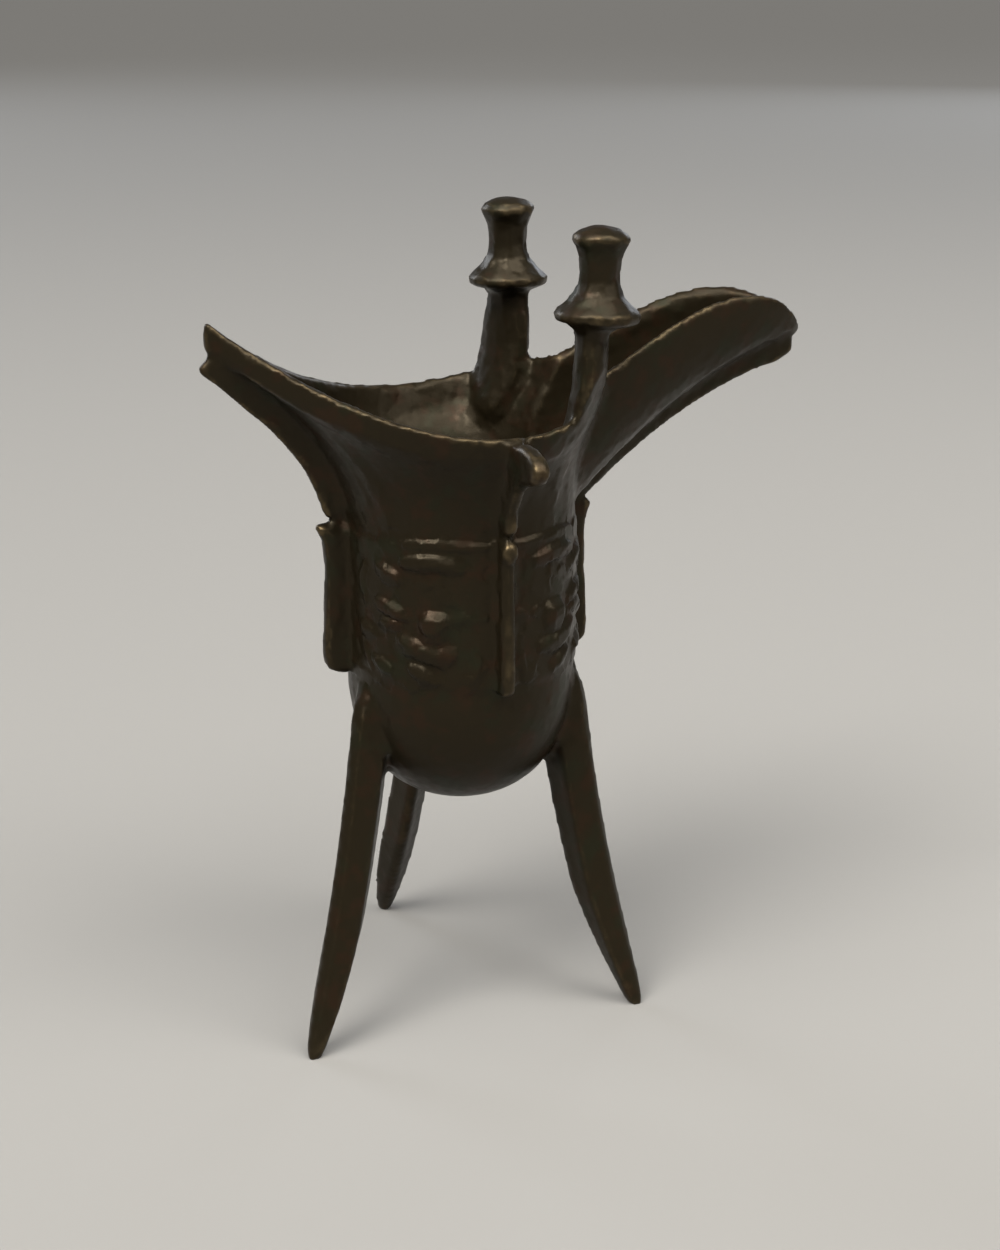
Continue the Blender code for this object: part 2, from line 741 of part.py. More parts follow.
def hollow(collection):
    """All that is taken out of the solid vessel: the space over the rim, the cavity and the spout's
    channel, less the two posts, which stay standing on the wall."""
    space = above_rim(collection)
    combine(space, cup_solid("cavity", CAVITY_COLUMNS, WALL, ABOVE_RIM + WALL, collection), "UNION")
    combine(space, spout_channel(collection), "UNION")
    for side in (-1, 1):
        combine(space, post_shaft(side, collection), "DIFFERENCE")
    return space


def build():
    clear_scene()
    parts = make_collection("jue wine vessel")
    tools = make_collection("construction")
    vessel = cup_solid("jue", CUP_COLUMNS, 0, ABOVE_RIM, parts)
    combine(vessel, spout_solid(tools), "UNION")
    combine(vessel, belt_flange((1, 0), SPOUT_FLANGE_REACH, tools), "UNION")
    combine(vessel, belt_flange((-1, 0), FLANGE_REACH, tools), "UNION")
    combine(vessel, belt_flange((0, -1), FLANGE_REACH, tools), "UNION")
    combine(vessel, neck_flange(-1, HOOK_REACH, tools), "UNION")
    combine(vessel, neck_flange(1, BACK_HOOK_REACH, tools), "UNION")
    combine(vessel, tail_keel(tools), "UNION")
    combine(vessel, spout_keel(tools), "UNION", "MANIFOLD")
    for place in LEGS:
        combine(vessel, leg(place, tools), "UNION")
    combine(vessel, handle(tools), "UNION")
    for side in (-1, 1):
        combine(vessel, mask_relief(side, tools), "UNION")
    combine(vessel, hollow(tools), "DIFFERENCE", "MANIFOLD")
    for side in (-1, 1):
        combine(vessel, post_cap(side, tools), "UNION")
    rest_on_origin(vessel)
    vessel.data.materials.clear()
    vessel.data.materials.append(bronze_material())
    vessel.data.shade_smooth()
    vessel.data.set_sharp_from_angle(angle=math.radians(35))


build()
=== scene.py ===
import json
import math

import bmesh
import bpy
import numpy as np
from mathutils import Matrix, Vector
from mathutils.bvhtree import BVHTree

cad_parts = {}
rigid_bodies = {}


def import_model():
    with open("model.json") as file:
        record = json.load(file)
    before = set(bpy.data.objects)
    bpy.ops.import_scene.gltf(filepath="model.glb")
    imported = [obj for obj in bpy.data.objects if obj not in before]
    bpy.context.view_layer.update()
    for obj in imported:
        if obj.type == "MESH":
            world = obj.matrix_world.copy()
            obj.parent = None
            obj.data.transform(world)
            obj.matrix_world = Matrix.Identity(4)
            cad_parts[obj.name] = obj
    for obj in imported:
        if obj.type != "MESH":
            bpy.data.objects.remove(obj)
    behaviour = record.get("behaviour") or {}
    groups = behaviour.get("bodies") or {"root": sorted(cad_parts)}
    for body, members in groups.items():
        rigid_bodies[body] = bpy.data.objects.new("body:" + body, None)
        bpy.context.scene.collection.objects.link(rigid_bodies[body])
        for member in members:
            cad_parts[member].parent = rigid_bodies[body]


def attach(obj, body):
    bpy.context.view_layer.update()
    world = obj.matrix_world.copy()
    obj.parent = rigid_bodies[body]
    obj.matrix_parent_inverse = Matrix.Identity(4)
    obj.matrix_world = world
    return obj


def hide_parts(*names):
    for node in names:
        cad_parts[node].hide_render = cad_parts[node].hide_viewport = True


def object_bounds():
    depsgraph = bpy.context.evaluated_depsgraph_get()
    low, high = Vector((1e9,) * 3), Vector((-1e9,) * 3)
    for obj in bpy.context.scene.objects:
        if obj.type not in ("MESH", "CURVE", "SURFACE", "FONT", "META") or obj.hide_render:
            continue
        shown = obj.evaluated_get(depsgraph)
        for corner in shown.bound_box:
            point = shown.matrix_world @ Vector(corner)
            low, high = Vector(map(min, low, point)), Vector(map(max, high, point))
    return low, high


for old in list(bpy.data.objects):
    bpy.data.objects.remove(old, do_unlink=True)

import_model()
solidLow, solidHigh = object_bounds()

# All lengths are metres. The forms are drawn round the cup's axis and moved into the frame at the end.
# +X is the spout, -X the tail, +Y the handle.

cup = {
    "bowlBottom": 0.0624,
    "beltBottom": 0.1010,
    "waist": 0.1430,
    "rimLow": 0.1713,
    "halfLength": 0.0320,
    "halfWidth": 0.0312,
    "bowlPower": 2.35,
    "bowlRings": 16,
    "bowlFirst": 7,
    "bowlTurn": 75,
    "neckRings": 16,
    "beltStep": 0.0005,
    "stepHeight": 0.0008,
    "borderHeight": 0.0018,
    "wall": 0.0027,
    "funnelPower": 2.2,
    "funnelReach": 0.0032,
    "columns": 240,
}

neckLines = {
    # column angle in degrees, width in degrees, height of each soft ridge down the neck
    "ridges": (
        (163.0, 2.4, 0.00045),
        (147.0, 3.0, 0.00040),
        (193.5, 2.2, 0.00090),
        (203.0, 2.2, 0.00080),
        (214.0, 3.0, 0.00080),
        (300.0, 4.0, 0.00045),
        (60.0, 4.0, 0.00030),
        (269.5, 7.0, 0.00150),
        (90.0, 6.0, 0.00100),
        (180.0, 8.0, 0.00180),
    ),
    # and of the swells on the belt that carry the flanges
    "flangeRoots": [(place, 4.5, 0.0016) for place in (0.0, 180.0, 271.6, 360.0)],
}

mouth = {
    "centre": 0.0050,
    "halfWidth": 0.0415,
    "front": 0.0385,
    "tailReach": 0.0680,
    "tailRise": 0.0278,
    "tailEdge": 0.0044,
    "leafPower": 2.9,
    "edgePower": 0.35,
    "leafInset": 2.1,
    "lowSetback": 0.0020,
    "lipHeight": 0.0072,
    "lipFlare": 0.0028,
    "lipStep": 0.0005,
    "leastEdge": 0.0004,
    "trimFlare": 0.0034,
    "trimRise": 0.0100,
}

spout = {
    "reach": 0.1020,
    "rise": 0.0271,
    "crestX": 0.0790,
    "tipDrop": 0.0107,
    "tipPower": 2.8,
    "rootX": 0.0220,
    "rootHalfWidth": 0.0190,
    "taper": 0.142,
    "roundX": 0.0800,
    "floorStart": 0.0019,
    "floorSlope": 0.98,
    "sectionPower": 0.8,
    "tipThickness": 0.0018,
    "wall": 0.0034,
    "tipWall": 0.4,
    "floorWall": 1.15,
    "lipSpread": 0.6,
    "lipChamfer": 0.0022,
}

post = {
    "x": 0.0264,
    "y": 0.0312,
    "top": 0.2232,
    "halfBreadth": 0.0068,
    "halfThickness": 0.0043,
    "roundness": 0.98,
    "footSpread": 0.30,
    "footShift": 0.0064,
    "frontFootShift": 0.0042,
    "footInwards": 0.45,
    "turn": math.radians(-66),
    # each section's place below the cap in shares of the post's height over the rim, its shift and its spread
    "sections": (
        (-0.09, 0.0, 0.0),
        (0.18, 0.0, 0.05),
        (0.33, 0.05, 0.42),
        (0.59, 0.15, 0.81),
        (0.75, 0.30, 1.0),
        (0.92, 0.50, 0.95),
        (1.107, 0.75, 0.29),
        (1.29, 1.0, -0.90),
        (1.42, 1.08, -2.35),
    ),
    "capHeight": 0.0240,
    "frontDrop": 0.0013,
    "frontLean": math.radians(2.5),
    "frontShift": -0.0013,
    "flangeRadius": 0.0111,
    "waistRadius": 0.0052,
    "crownRadius": 0.0076,
    "capSides": 72,
    "shaftSides": 48,
}

blades = {
    "front": {
        "reach": 0.0044,
        "thickness": 0.0040,
        "drop": 0.0012,
        "shift": 0.0009,
        "lip": 0.2,
        "softness": 0.44,
    },
    "beadSize": (0.0024, 0.0023, 0.0032),
    "beadOut": 0.85,
    "beadDrop": 0.0027,
    "hookThickness": 0.0034,
    "hookSoftness": 0.30,
    "headThickness": 0.0044,
    "flangeThickness": 0.0034,
    "tailFlangeThickness": 0.0044,
    "keelThickness": 0.0030,
    "keelStart": 0.045,
    "keelSteps": 36,
    "flangeReach": 0.0065,
    "spoutFlangeReach": 0.0051,
    "solidHookReach": 0.0290,  # the CAD solid's, which sets where its box ends
    "hookReach": 0.0272,
    "backHookReach": 0.0130,
    "tailKeelDepth": 0.0068,
    # starts and slopes of the lines that bound its depth from the belt to the tip
    "tailKeelBounds": ((0.8, 1.0), (0.95, 0.12), (1.75, -0.9)),
    "tailKnob": 0.0019,
    "tailNotch": 0.0028,
    "spoutKeelDepth": 0.0053,
    "spoutKeelGrowth": 0.25,
    # where its end starts, how long that is and how much depth it loses, in shares
    "spoutKeelEnd": (0.94, 0.06, 0.25),
}

legs = {
    "headRadius": 0.0331,
    "headTaper": 0.0034,
    "taperFrom": 0.90,
    "taperOver": 0.12,
    "taperPower": 1.3,
    "bow": 0.0024,
    "width": 0.0114,
    "tipWidth": 0.0018,
    "round": 0.0320,
    "depth": 0.0124,
    "deepening": 0.20,
    "fullDepthAt": 0.33,
    "rootSpread": 0.4,
    "spreadFrom": 0.75,
    "tipDepth": 0.0022,
    "backEdge": 0.0021,
    "shoulder": 0.42,  # where a section is widest, in shares of its depth
    "ridge": 0.16,  # half the front edge, in shares of the width
    "tip": 0.035,  # the rounded end, in shares of the height
    "spare": 0.0011,  # how far the end goes below the floor before it is cut level
    # head, foot and ridge directions in degrees, and the foot's reach
    "places": ((196.0, 206.0, 213.0, 0.0611), (84.0, 95.4, 78.0, 0.0596), (336.0, 325.3, 318.0, 0.0537)),
}

strap = {
    "reach": 0.0195,
    "width": 0.0100,
    "thickness": 0.0038,
    "topInset": 0.0055,
    "height": 0.0330,
    "bend": 0.40,
    "edgePower": 0.5,
    "facePower": 0.7,
}

aboveRim = post["top"] - 0.4 * post["capHeight"]
capBase = post["top"] - post["capHeight"]
axisX = solidHigh.x - spout["reach"]
axisY = solidLow.y + cup["halfWidth"] + blades["solidHookReach"]


def addObject(name, mesh):
    made = bpy.data.objects.new(name, mesh)
    bpy.context.scene.collection.objects.link(made)
    return made


def evaluatedMesh(made):
    bpy.context.view_layer.update()
    graph = bpy.context.evaluated_depsgraph_get()
    return bpy.data.meshes.new_from_object(made.evaluated_get(graph))


def applyModifiers(made):
    made.data = evaluatedMesh(made)
    made.modifiers.clear()


def triangleCount(made):
    return sum(len(face.vertices) - 2 for face in made.data.polygons)


def signedPower(value, power):
    return math.copysign(abs(value) ** power, value)


def circle(count):
    return [2 * math.pi * i / count for i in range(count)]


def meshOf(name, bm):
    mesh = bpy.data.meshes.new(name)
    bm.to_mesh(mesh)
    bm.free()
    return mesh


def closedMesh(name, bm):
    bmesh.ops.remove_doubles(bm, verts=bm.verts, dist=1e-6)
    bmesh.ops.recalc_face_normals(bm, faces=bm.faces)
    return meshOf(name, bm)


def loft(name, rings):
    # a closed skin over a row of rings
    bm = bmesh.new()
    rows = [[bm.verts.new(point) for point in ring] for ring in rings]
    count = len(rows[0])
    for low, high in zip(rows, rows[1:]):
        for i in range(count):
            j = (i + 1) % count
            bm.faces.new((low[i], low[j], high[j], high[i]))
    bm.faces.new(rows[0][::-1])
    bm.faces.new(rows[-1])
    return addObject(name, closedMesh(name, bm))


def eased(points, per):
    # a smooth curve through the points, with so many steps between each two
    p = np.array(points, float)
    p = np.vstack([2 * p[0] - p[1], p, 2 * p[-1] - p[-2]])
    out = []
    for a, b, c, d in zip(p, p[1:], p[2:], p[3:]):
        for i in range(per):
            t = i / per
            bend = (2 * a - 5 * b + 4 * c - d) * t**2
            out.append(0.5 * (2 * b + (c - a) * t + bend + (3 * b - a - 3 * c + d) * t**3))
    out.append(p[-2])
    return [tuple(float(v) for v in q) for q in out]


def plate(name, outline, thickness, along="Y", softness=0.22):
    # a flat outline stood upright, with soft edges along both faces
    soft = softness * thickness
    shape = bpy.data.curves.new(name, "CURVE")
    shape.dimensions = "2D"
    shape.fill_mode = "BOTH"
    shape.extrude = thickness / 2 - soft
    shape.bevel_depth = soft
    shape.bevel_resolution = 2
    shape.offset = -soft
    spline = shape.splines.new("POLY")
    spline.points.add(len(outline) - 1)
    spline.use_cyclic_u = True
    for point, (across, height) in zip(spline.points, outline):
        point.co = (across, height, 0, 1)
    drawn = addObject(name + "Outline", shape)
    turn = 0 if along == "Y" else math.radians(90)
    drawn.matrix_world = Matrix.Rotation(turn, 4, "Z") @ Matrix.Rotation(math.radians(90), 4, "X")
    bm = bmesh.new()
    bm.from_mesh(evaluatedMesh(drawn))
    bm.transform(drawn.matrix_world)
    bpy.data.objects.remove(drawn, do_unlink=True)
    return addObject(name, closedMesh(name, bm))


def combine(target, tool, operation):
    cut = target.modifiers.new(operation.lower(), "BOOLEAN")
    cut.operation = operation
    cut.solver = "MANIFOLD"
    cut.object = tool
    applyModifiers(target)
    bpy.data.objects.remove(tool, do_unlink=True)


def smoothStep(u):
    u = min(max(u, 0.0), 1.0)
    return u * u * (3 - 2 * u)


def rimHeight(x):
    low = -mouth["lowSetback"]
    if x <= low:
        return cup["rimLow"] + mouth["tailRise"] * ((low - x) / (low + mouth["tailReach"])) ** 2
    if x <= spout["crestX"]:
        return cup["rimLow"] + spout["rise"] * smoothStep(((x - low) / (spout["crestX"] - low)) ** 1.15)
    past = (x - spout["crestX"]) / (spout["reach"] - spout["crestX"])
    return cup["rimLow"] + spout["rise"] - spout["tipDrop"] * past ** spout["tipPower"]


def mouthPoint(angle, inset):
    c = math.cos(angle)
    s = math.sin(angle)
    halfWidth = mouth["halfWidth"] - inset
    if c >= 0:
        return mouth["centre"] + (mouth["front"] - mouth["centre"] - inset) * c, halfWidth * s
    edge = max(mouth["tailEdge"] / 2 - inset, mouth["leastEdge"])
    leaf = (halfWidth - edge) * abs(s) ** mouth["leafPower"] + edge * abs(s) ** mouth["edgePower"]
    reach = mouth["tailReach"] + mouth["centre"] - mouth["leafInset"] * inset
    return mouth["centre"] + reach * c, math.copysign(leaf, s)


def swell(angle, ridges):
    return sum(h * math.exp(-(((angle - place) / width) ** 2)) for place, width, h in ridges)


def cupColumn(angle, wall, top):
    # one line up the cup's outside, or up its inside if a wall is given
    c = math.cos(angle)
    s = math.sin(angle)
    degrees = math.degrees(angle)
    length = cup["halfLength"] - wall
    width = cup["halfWidth"] - wall
    step = 0 if wall else cup["beltStep"]
    depth = cup["beltBottom"] - cup["bowlBottom"] - wall
    beltHeight = cup["waist"] - cup["beltBottom"]
    points = []
    for i in range(cup["bowlRings"] + 1):
        k = math.cos(math.radians(cup["bowlFirst"] + cup["bowlTurn"] * i / cup["bowlRings"]))
        share = (1 - k ** cup["bowlPower"]) ** (1 / cup["bowlPower"])
        z = cup["beltBottom"] - depth * k
        points.append(((length - step) * share * c, (width - step) * share * s, z))
    border = cup["borderHeight"]
    belt = [(0, -step), (border, 0), (beltHeight - border, 0), (beltHeight, -step)]
    root = 0 if wall else swell(degrees, neckLines["flangeRoots"])
    ridge = 0 if wall else swell(degrees, neckLines["ridges"])
    for up, out in belt[::3] if wall else belt:
        out += root if 0 < up < beltHeight else 0
        points.append(((length + out) * c, (width + out) * s, cup["beltBottom"] + up))
    foot = Vector(points[-1])
    lipX, lipY = mouthPoint(angle, wall)
    funnel = max(c, 0) ** 4 if wall else 0
    lipX += cup["funnelReach"] * funnel**2
    flare = 1 - mouth["lipFlare"] / mouth["halfWidth"]
    rim = rimHeight(lipX)
    lift = 0.5 * wall * max(-c, 0) ** 4
    band = Vector((lipX * (1 if c < 0 else flare), lipY * flare, rim - mouth["lipHeight"] + lift))
    for i in range(1, cup["neckRings"] + 1):
        t = i / cup["neckRings"]
        spread = foot.lerp(band, t ** (2 + cup["funnelPower"] * funnel))
        out = ridge * math.sin(math.pi * min(1.15 * t, 1)) ** 0.7
        across = spread.y + out * s * (1 + 1.5 * max(-c, 0))
        points.append((spread.x + out * c, across, foot.z + (band.z - foot.z) * t))
    out = 0 if wall else mouth["lipStep"]
    points.append((band.x + out * c, band.y + out * s, band.z + cup["stepHeight"]))
    points.append((lipX, lipY, rim))
    flareOut = mouth["trimFlare"]
    points.append((lipX + flareOut * c, lipY + flareOut * s, rim + mouth["trimRise"]))
    points.append((lipX + 1.5 * flareOut * c, lipY + 1.5 * flareOut * s, top))
    return points


def cupSolid(name, wall, top):
    lines = [cupColumn(angle, wall, top) for angle in circle(cup["columns"])]
    return loft(name, list(zip(*lines)))


def spoutHalfWidth(x):
    width = spout["rootHalfWidth"] - spout["taper"] * (x - spout["rootX"])
    if x > spout["roundX"]:
        past = (x - spout["roundX"]) / (spout["reach"] - spout["roundX"])
        width *= math.sqrt(max(1 - past**2, 0.0))
    return width


def spoutFloor(x):
    run = spout["reach"] - cup["halfLength"]
    tip = rimHeight(spout["reach"]) - spout["tipThickness"]
    start = cup["waist"] + spout["floorStart"]
    bend = (spout["floorSlope"] * run - (tip - start)) / run**2
    d = x - cup["halfLength"]
    return start + spout["floorSlope"] * d - bend * d * d


def troughSection(x, halfWidth, floor, side):
    points = []
    steps = 24
    for i in range(steps + 1):
        beta = math.pi * i / steps
        across = signedPower(math.cos(beta), spout["sectionPower"])
        down = math.sin(beta) ** spout["sectionPower"] if 0 < i < steps else 0
        points.append((x, halfWidth * across, side - (side - floor) * down))
    return points


def spoutStations(end):
    straight = [spout["rootX"] + (spout["roundX"] - spout["rootX"]) * i / 24 for i in range(25)]
    curved = [math.sin(math.radians(a)) for a in range(8, 89, 8)]
    return straight + [spout["roundX"] + (end - spout["roundX"]) * c for c in curved]


def spoutSolid():
    rings = []
    top = aboveRim - cup["wall"]
    for x in spoutStations(spout["reach"]):
        halfWidth = max(spoutHalfWidth(x), 1.5 * mouth["leastEdge"])
        low = troughSection(x, halfWidth, spoutFloor(x), rimHeight(x))
        rings.append([(x, halfWidth, top)] + low + [(x, -halfWidth, top)])
    return loft("spout", rings)


def spoutChannel():
    rings = []
    least = mouth["leastEdge"]
    wall = spout["wall"]
    top = aboveRim + 2 * cup["wall"]
    for x in [spout["rootX"] - wall] + spoutStations(spout["reach"] - spout["tipWall"] * wall):
        halfWidth = max(spoutHalfWidth(x) - wall, least)
        lip = halfWidth + spout["lipSpread"] * wall
        rim = rimHeight(x)
        floor = spoutFloor(x) + spout["floorWall"] * cup["wall"]
        side = max(rim - spout["lipChamfer"], floor + least)
        low = troughSection(x, halfWidth, floor, side)
        edge = max(rim, side + least)
        rings.append([(x, lip, top), (x, lip, edge)] + low + [(x, -lip, edge), (x, -lip, top)])
    return loft("channel", rings)


def spaceOverRim():
    steps = 120
    length = mouth["tailReach"] + spout["reach"]
    beyond = 0.1 * length
    stations = [length * i / steps - mouth["tailReach"] for i in range(steps + 1)]
    line = [(x, rimHeight(x)) for x in stations]
    first = (line[0][0] - beyond, line[0][1])
    last = (line[-1][0] + beyond, line[-1][1])
    top = post["top"] + beyond
    outline = [first] + line + [last, (last[0], top), (first[0], top)]
    rings = []
    for y in (-2 * mouth["halfWidth"], 2 * mouth["halfWidth"]):
        rings.append([(x, y, z) for x, z in outline])
    return loft("overRim", rings)


def beltFlange(side, reach, thickness, drop=0.0, shift=0.0, lip=1.0, softness=0.34):
    # the blade on the belt, flaring outwards to a lip at its top
    across = side[0] + side[1]
    surface = cup["halfLength"] if side[0] else cup["halfWidth"]
    inner = surface - 0.5 * cup["halfWidth"]
    foot = cup["beltBottom"] - drop
    height = cup["waist"] - foot
    profile = (
        (0.30, 0.010), (0.75, 0.022), (1.03, 0.065), (1.12, 0.16), (1.06, 0.40),
        (0.98, 0.62), (0.97, 0.78), (1.08, 0.90), (1.33, 0.975), (1.27, 1.003),
        (0.50, 1.010),
    )
    outline = [(across * inner, foot)]
    for out, up in eased(profile[:9], 4) + list(profile[9:]):
        if out > profile[6][0]:
            out = profile[6][0] + (out - profile[6][0]) * (lip if up > 0.5 else 1)
        outline.append((across * (surface + out * reach), foot + up * height))
    outline.append((across * inner, cup["waist"]))
    blade = plate("beltFlange", outline, thickness, "Y" if side[0] else "X", softness)
    blade.data.transform(Matrix.Translation((shift, 0, 0)))
    return blade


def neckFlange(side, reach, shift=0.0):
    # the hooked blade on the neck, from nothing at the waist to a thick curled head under the rim
    profile = (
        (0.0, 0.01), (0.085, 0.035), (0.21, 0.09), (0.25, 0.17), (0.26, 0.30),
        (0.37, 0.46), (0.50, 0.575), (0.60, 0.645), (0.76, 0.69), (0.88, 0.74),
        (0.93, 0.80), (0.90, 0.865), (0.80, 0.92), (0.66, 0.95), (0.47, 0.945),
        (0.24, 0.895), (0.06, 0.83),
    )
    head = (
        (0.36, 0.60), (0.60, 0.635), (0.76, 0.665), (0.915, 0.715), (0.985, 0.79),
        (0.955, 0.875), (0.85, 0.94), (0.68, 0.98), (0.47, 0.975), (0.33, 0.92),
        (0.28, 0.76),
    )
    neck = cup["rimLow"] - cup["waist"]
    inner = 0.5 * cup["halfWidth"]

    def placed(shares):
        return [(side * (cup["halfWidth"] + out * reach), cup["waist"] + up * neck) for out, up in shares]

    first = (side * inner, cup["waist"] + profile[0][1] * neck)
    last = (side * inner, cup["waist"] + profile[-1][1] * neck)
    outline = [first] + placed(eased(profile, 3)) + [last]
    soft = blades["hookSoftness"]
    blade = plate("neckFlange", outline, blades["hookThickness"], "X", soft)
    curled = plate("hookHead", placed(eased(head, 3)), blades["headThickness"], "X", soft)
    combine(blade, curled, "UNION")
    blade.data.transform(Matrix.Translation((shift, 0, 0)))
    return blade


def flangeBead():
    # the small ball at the top of the front flange
    bm = bmesh.new()
    bmesh.ops.create_uvsphere(bm, u_segments=24, v_segments=16, radius=1)
    out = cup["halfWidth"] + blades["beadOut"] * blades["front"]["reach"]
    middle = (blades["front"]["shift"], -out, cup["waist"] - blades["beadDrop"])
    bm.transform(Matrix.Translation(middle) @ Matrix.Diagonal((*blades["beadSize"], 1)))
    ball = closedMesh("flangeBead", bm)
    # a sphere's faces and their first corners come in no fixed order, so they are put in one
    faces = []
    for face in ball.polygons:
        corners = list(face.vertices)
        first = corners.index(min(corners))
        faces.append(corners[first:] + corners[:first])
    points = [tuple(vertex.co) for vertex in ball.vertices]
    ball.clear_geometry()
    ball.from_pydata(points, [], sorted(faces))
    return addObject("flangeBead", ball)


def tailLine(t, out):
    run = mouth["tailReach"] - cup["halfLength"]
    climb = cup["rimLow"] + mouth["tailRise"] - mouth["lipHeight"] - cup["waist"]
    slope = Vector((2 * run * t, climb)).normalized()
    x = cup["halfLength"] + run * t * t
    return -(x + slope.y * out), cup["waist"] + climb * t - slope.x * out


def tailKeel():
    steps = blades["keelSteps"]
    shares = [blades["keelStart"] + (1 - blades["keelStart"]) * i / steps for i in range(steps + 1)]
    outer = []
    for t in shares:
        share = min(start + slope * t for start, slope in blades["tailKeelBounds"])
        x, z = tailLine(t, blades["tailKeelDepth"] * share)
        outer.append((max(x, -mouth["tailReach"] - blades["tailKnob"]), z))
    tip = rimHeight(-mouth["tailReach"]) - mouth["lipHeight"]
    inner = [tailLine(t, -1.5 * cup["wall"]) for t in shares[::-1]]
    x = -mouth["tailReach"] + mouth["leastEdge"]
    end = [(x, tip - blades["tailNotch"]), (x, tip)]
    return plate("tailKeel", outer + end + inner, blades["keelThickness"])


def spoutKeel():
    steps = blades["keelSteps"]
    endShare, endLength, endLoss = blades["spoutKeelEnd"]
    start = cup["halfLength"]
    run = spout["reach"] - spout["tipThickness"] - start
    outer = []
    inner = []
    for i in range(steps + 1):
        x = start + run * i / steps
        depth = blades["spoutKeelDepth"] * (1 + blades["spoutKeelGrowth"] * i / steps)
        depth *= 1 - endLoss * max(i / steps - endShare, 0) / endLength
        outer.append((x, spoutFloor(x) - depth))
        inner.append((x, spoutFloor(x) + 0.3 * cup["wall"]))
    base = cup["waist"] - 1.4 * cup["stepHeight"]
    outline = [(0.6 * start, base), (start + 0.5 * blades["spoutKeelDepth"], base)] + outer[1:] + inner[::-1]
    return plate("spoutKeel", outline, blades["keelThickness"])


def direction(degrees):
    return Vector((math.cos(math.radians(degrees)), math.sin(math.radians(degrees))))


def leg(place):
    headAngle, footAngle, turn, reach = place
    head = direction(headAngle) * legs["headRadius"]
    foot = direction(footAngle) * reach
    outwards = direction(turn)
    across = Vector((-outwards.y, outwards.x))
    tip = legs["tip"]
    shoulder = legs["shoulder"]
    rings = []
    for share in [0, tip / 3, tip, 0.055] + [0.08 + 0.04 * i for i in range(26)]:
        z = cup["beltBottom"] * share
        full = math.sqrt(min(share / legs["fullDepthAt"], 1.0))
        depth = legs["tipDepth"] + (legs["depth"] - legs["tipDepth"]) * full
        depth *= 1 + legs["deepening"] * share
        rounding = max(1 - z / legs["round"], 0.0)
        widening = math.sqrt(1 - rounding**2)
        width = legs["tipWidth"] + (legs["width"] - legs["tipWidth"]) * widening
        width *= 1 + legs["rootSpread"] * max(share - legs["spreadFrom"], 0.0)
        tipRound = 0.3 * legs["tipDepth"] * max(1 - share / tip, 0.0)
        past = max(share - legs["taperFrom"], 0.0) / legs["taperOver"]
        sunk = legs["headTaper"] * past ** legs["taperPower"]
        bow = legs["bow"] * math.sin(math.pi * min(share, 1.0))
        ridge = foot.lerp(head, min(share, 1.0)) - outwards * (bow + tipRound + sunk)
        edge = min(legs["backEdge"], 0.6 * width)
        half = [(0, legs["ridge"] * width), (shoulder * depth, 0.5 * width), (depth, edge / 2)]
        section = half + [(back, -side) for back, side in half[::-1]]
        z -= legs["spare"] * max(1 - 12 * share, 0)
        rings.append([(*(ridge - outwards * back + across * side), z) for back, side in section])
    return loft("leg", rings)


def handle():
    # a flat strap bent round a D, both ends inside the wall
    top = cup["waist"] - strap["topInset"]
    low = top - strap["height"]
    root = 0.7 * cup["halfWidth"]
    thick = strap["thickness"]
    reach = cup["halfWidth"] + strap["reach"] - thick / 2
    radius = strap["bend"] * strap["height"]
    path = [(root, top)]
    for degrees in range(90, -75, -5):
        a = math.radians(degrees)
        middle = top - radius if degrees >= 0 else low + radius
        path.append((reach - radius + radius * math.cos(a), middle + radius * math.sin(a)))
    path.append((root, low))
    rings = []
    for i, (y, z) in enumerate(path):
        y0, z0 = path[max(i - 1, 0)]
        y1, z1 = path[min(i + 1, len(path) - 1)]
        along = Vector((y1 - y0, z1 - z0)).normalized()
        ring = []
        for a in circle(16):
            wide = strap["width"] / 2 * signedPower(math.cos(a), strap["edgePower"])
            out = thick / 2 * signedPower(math.sin(a), strap["facePower"])
            ring.append((wide, y - along.y * out, z + along.x * out))
        rings.append(ring)
    return loft("handle", rings)


def capProfile():
    crown = post["crownRadius"]
    waist = post["waistRadius"]
    flange = post["flangeRadius"]
    height = post["capHeight"]
    dome = [(0, height), (0.30 * crown, 0.993 * height), (0.60 * crown, 0.966 * height)]
    dome += [(0.86 * crown, 0.918 * height), (0.985 * crown, 0.87 * height)]
    stem = [
        (crown, 0.850 * height),
        (0.87 * crown, 0.800 * height),
        (1.09 * waist, 0.70 * height),
        (waist, 0.58 * height),
        (waist, 0.42 * height),
        (1.16 * waist, 0.32 * height),
        (0.66 * flange, 0.24 * height),
        (0.84 * flange, 0.155 * height),
        (flange, 0.095 * height),
    ]
    under = [(1.0 * flange, 0.045 * height), (0.95 * flange, 0.0), (0.78 * flange, -0.02 * height)]
    under += [(0.60 * flange, -0.05 * height), (0, -0.05 * height)]
    return eased(dome, 3) + eased(stem, 3) + under


def postDrop(side):
    return post["frontDrop"] if side < 0 else 0.0


def postCap(side):
    rings = []
    turns = circle(post["capSides"])
    lean = post["frontLean"] if side < 0 else 0
    place = Matrix.Translation((post["x"], side * post["y"], capBase - postDrop(side)))
    place = place @ Matrix.Rotation(lean, 4, "Y")
    for r, z in capProfile():
        r = max(r, 0.0001)
        rings.append([place @ Vector((r * math.cos(a), r * math.sin(a), z)) for a in turns])
    return loft("cap", rings)


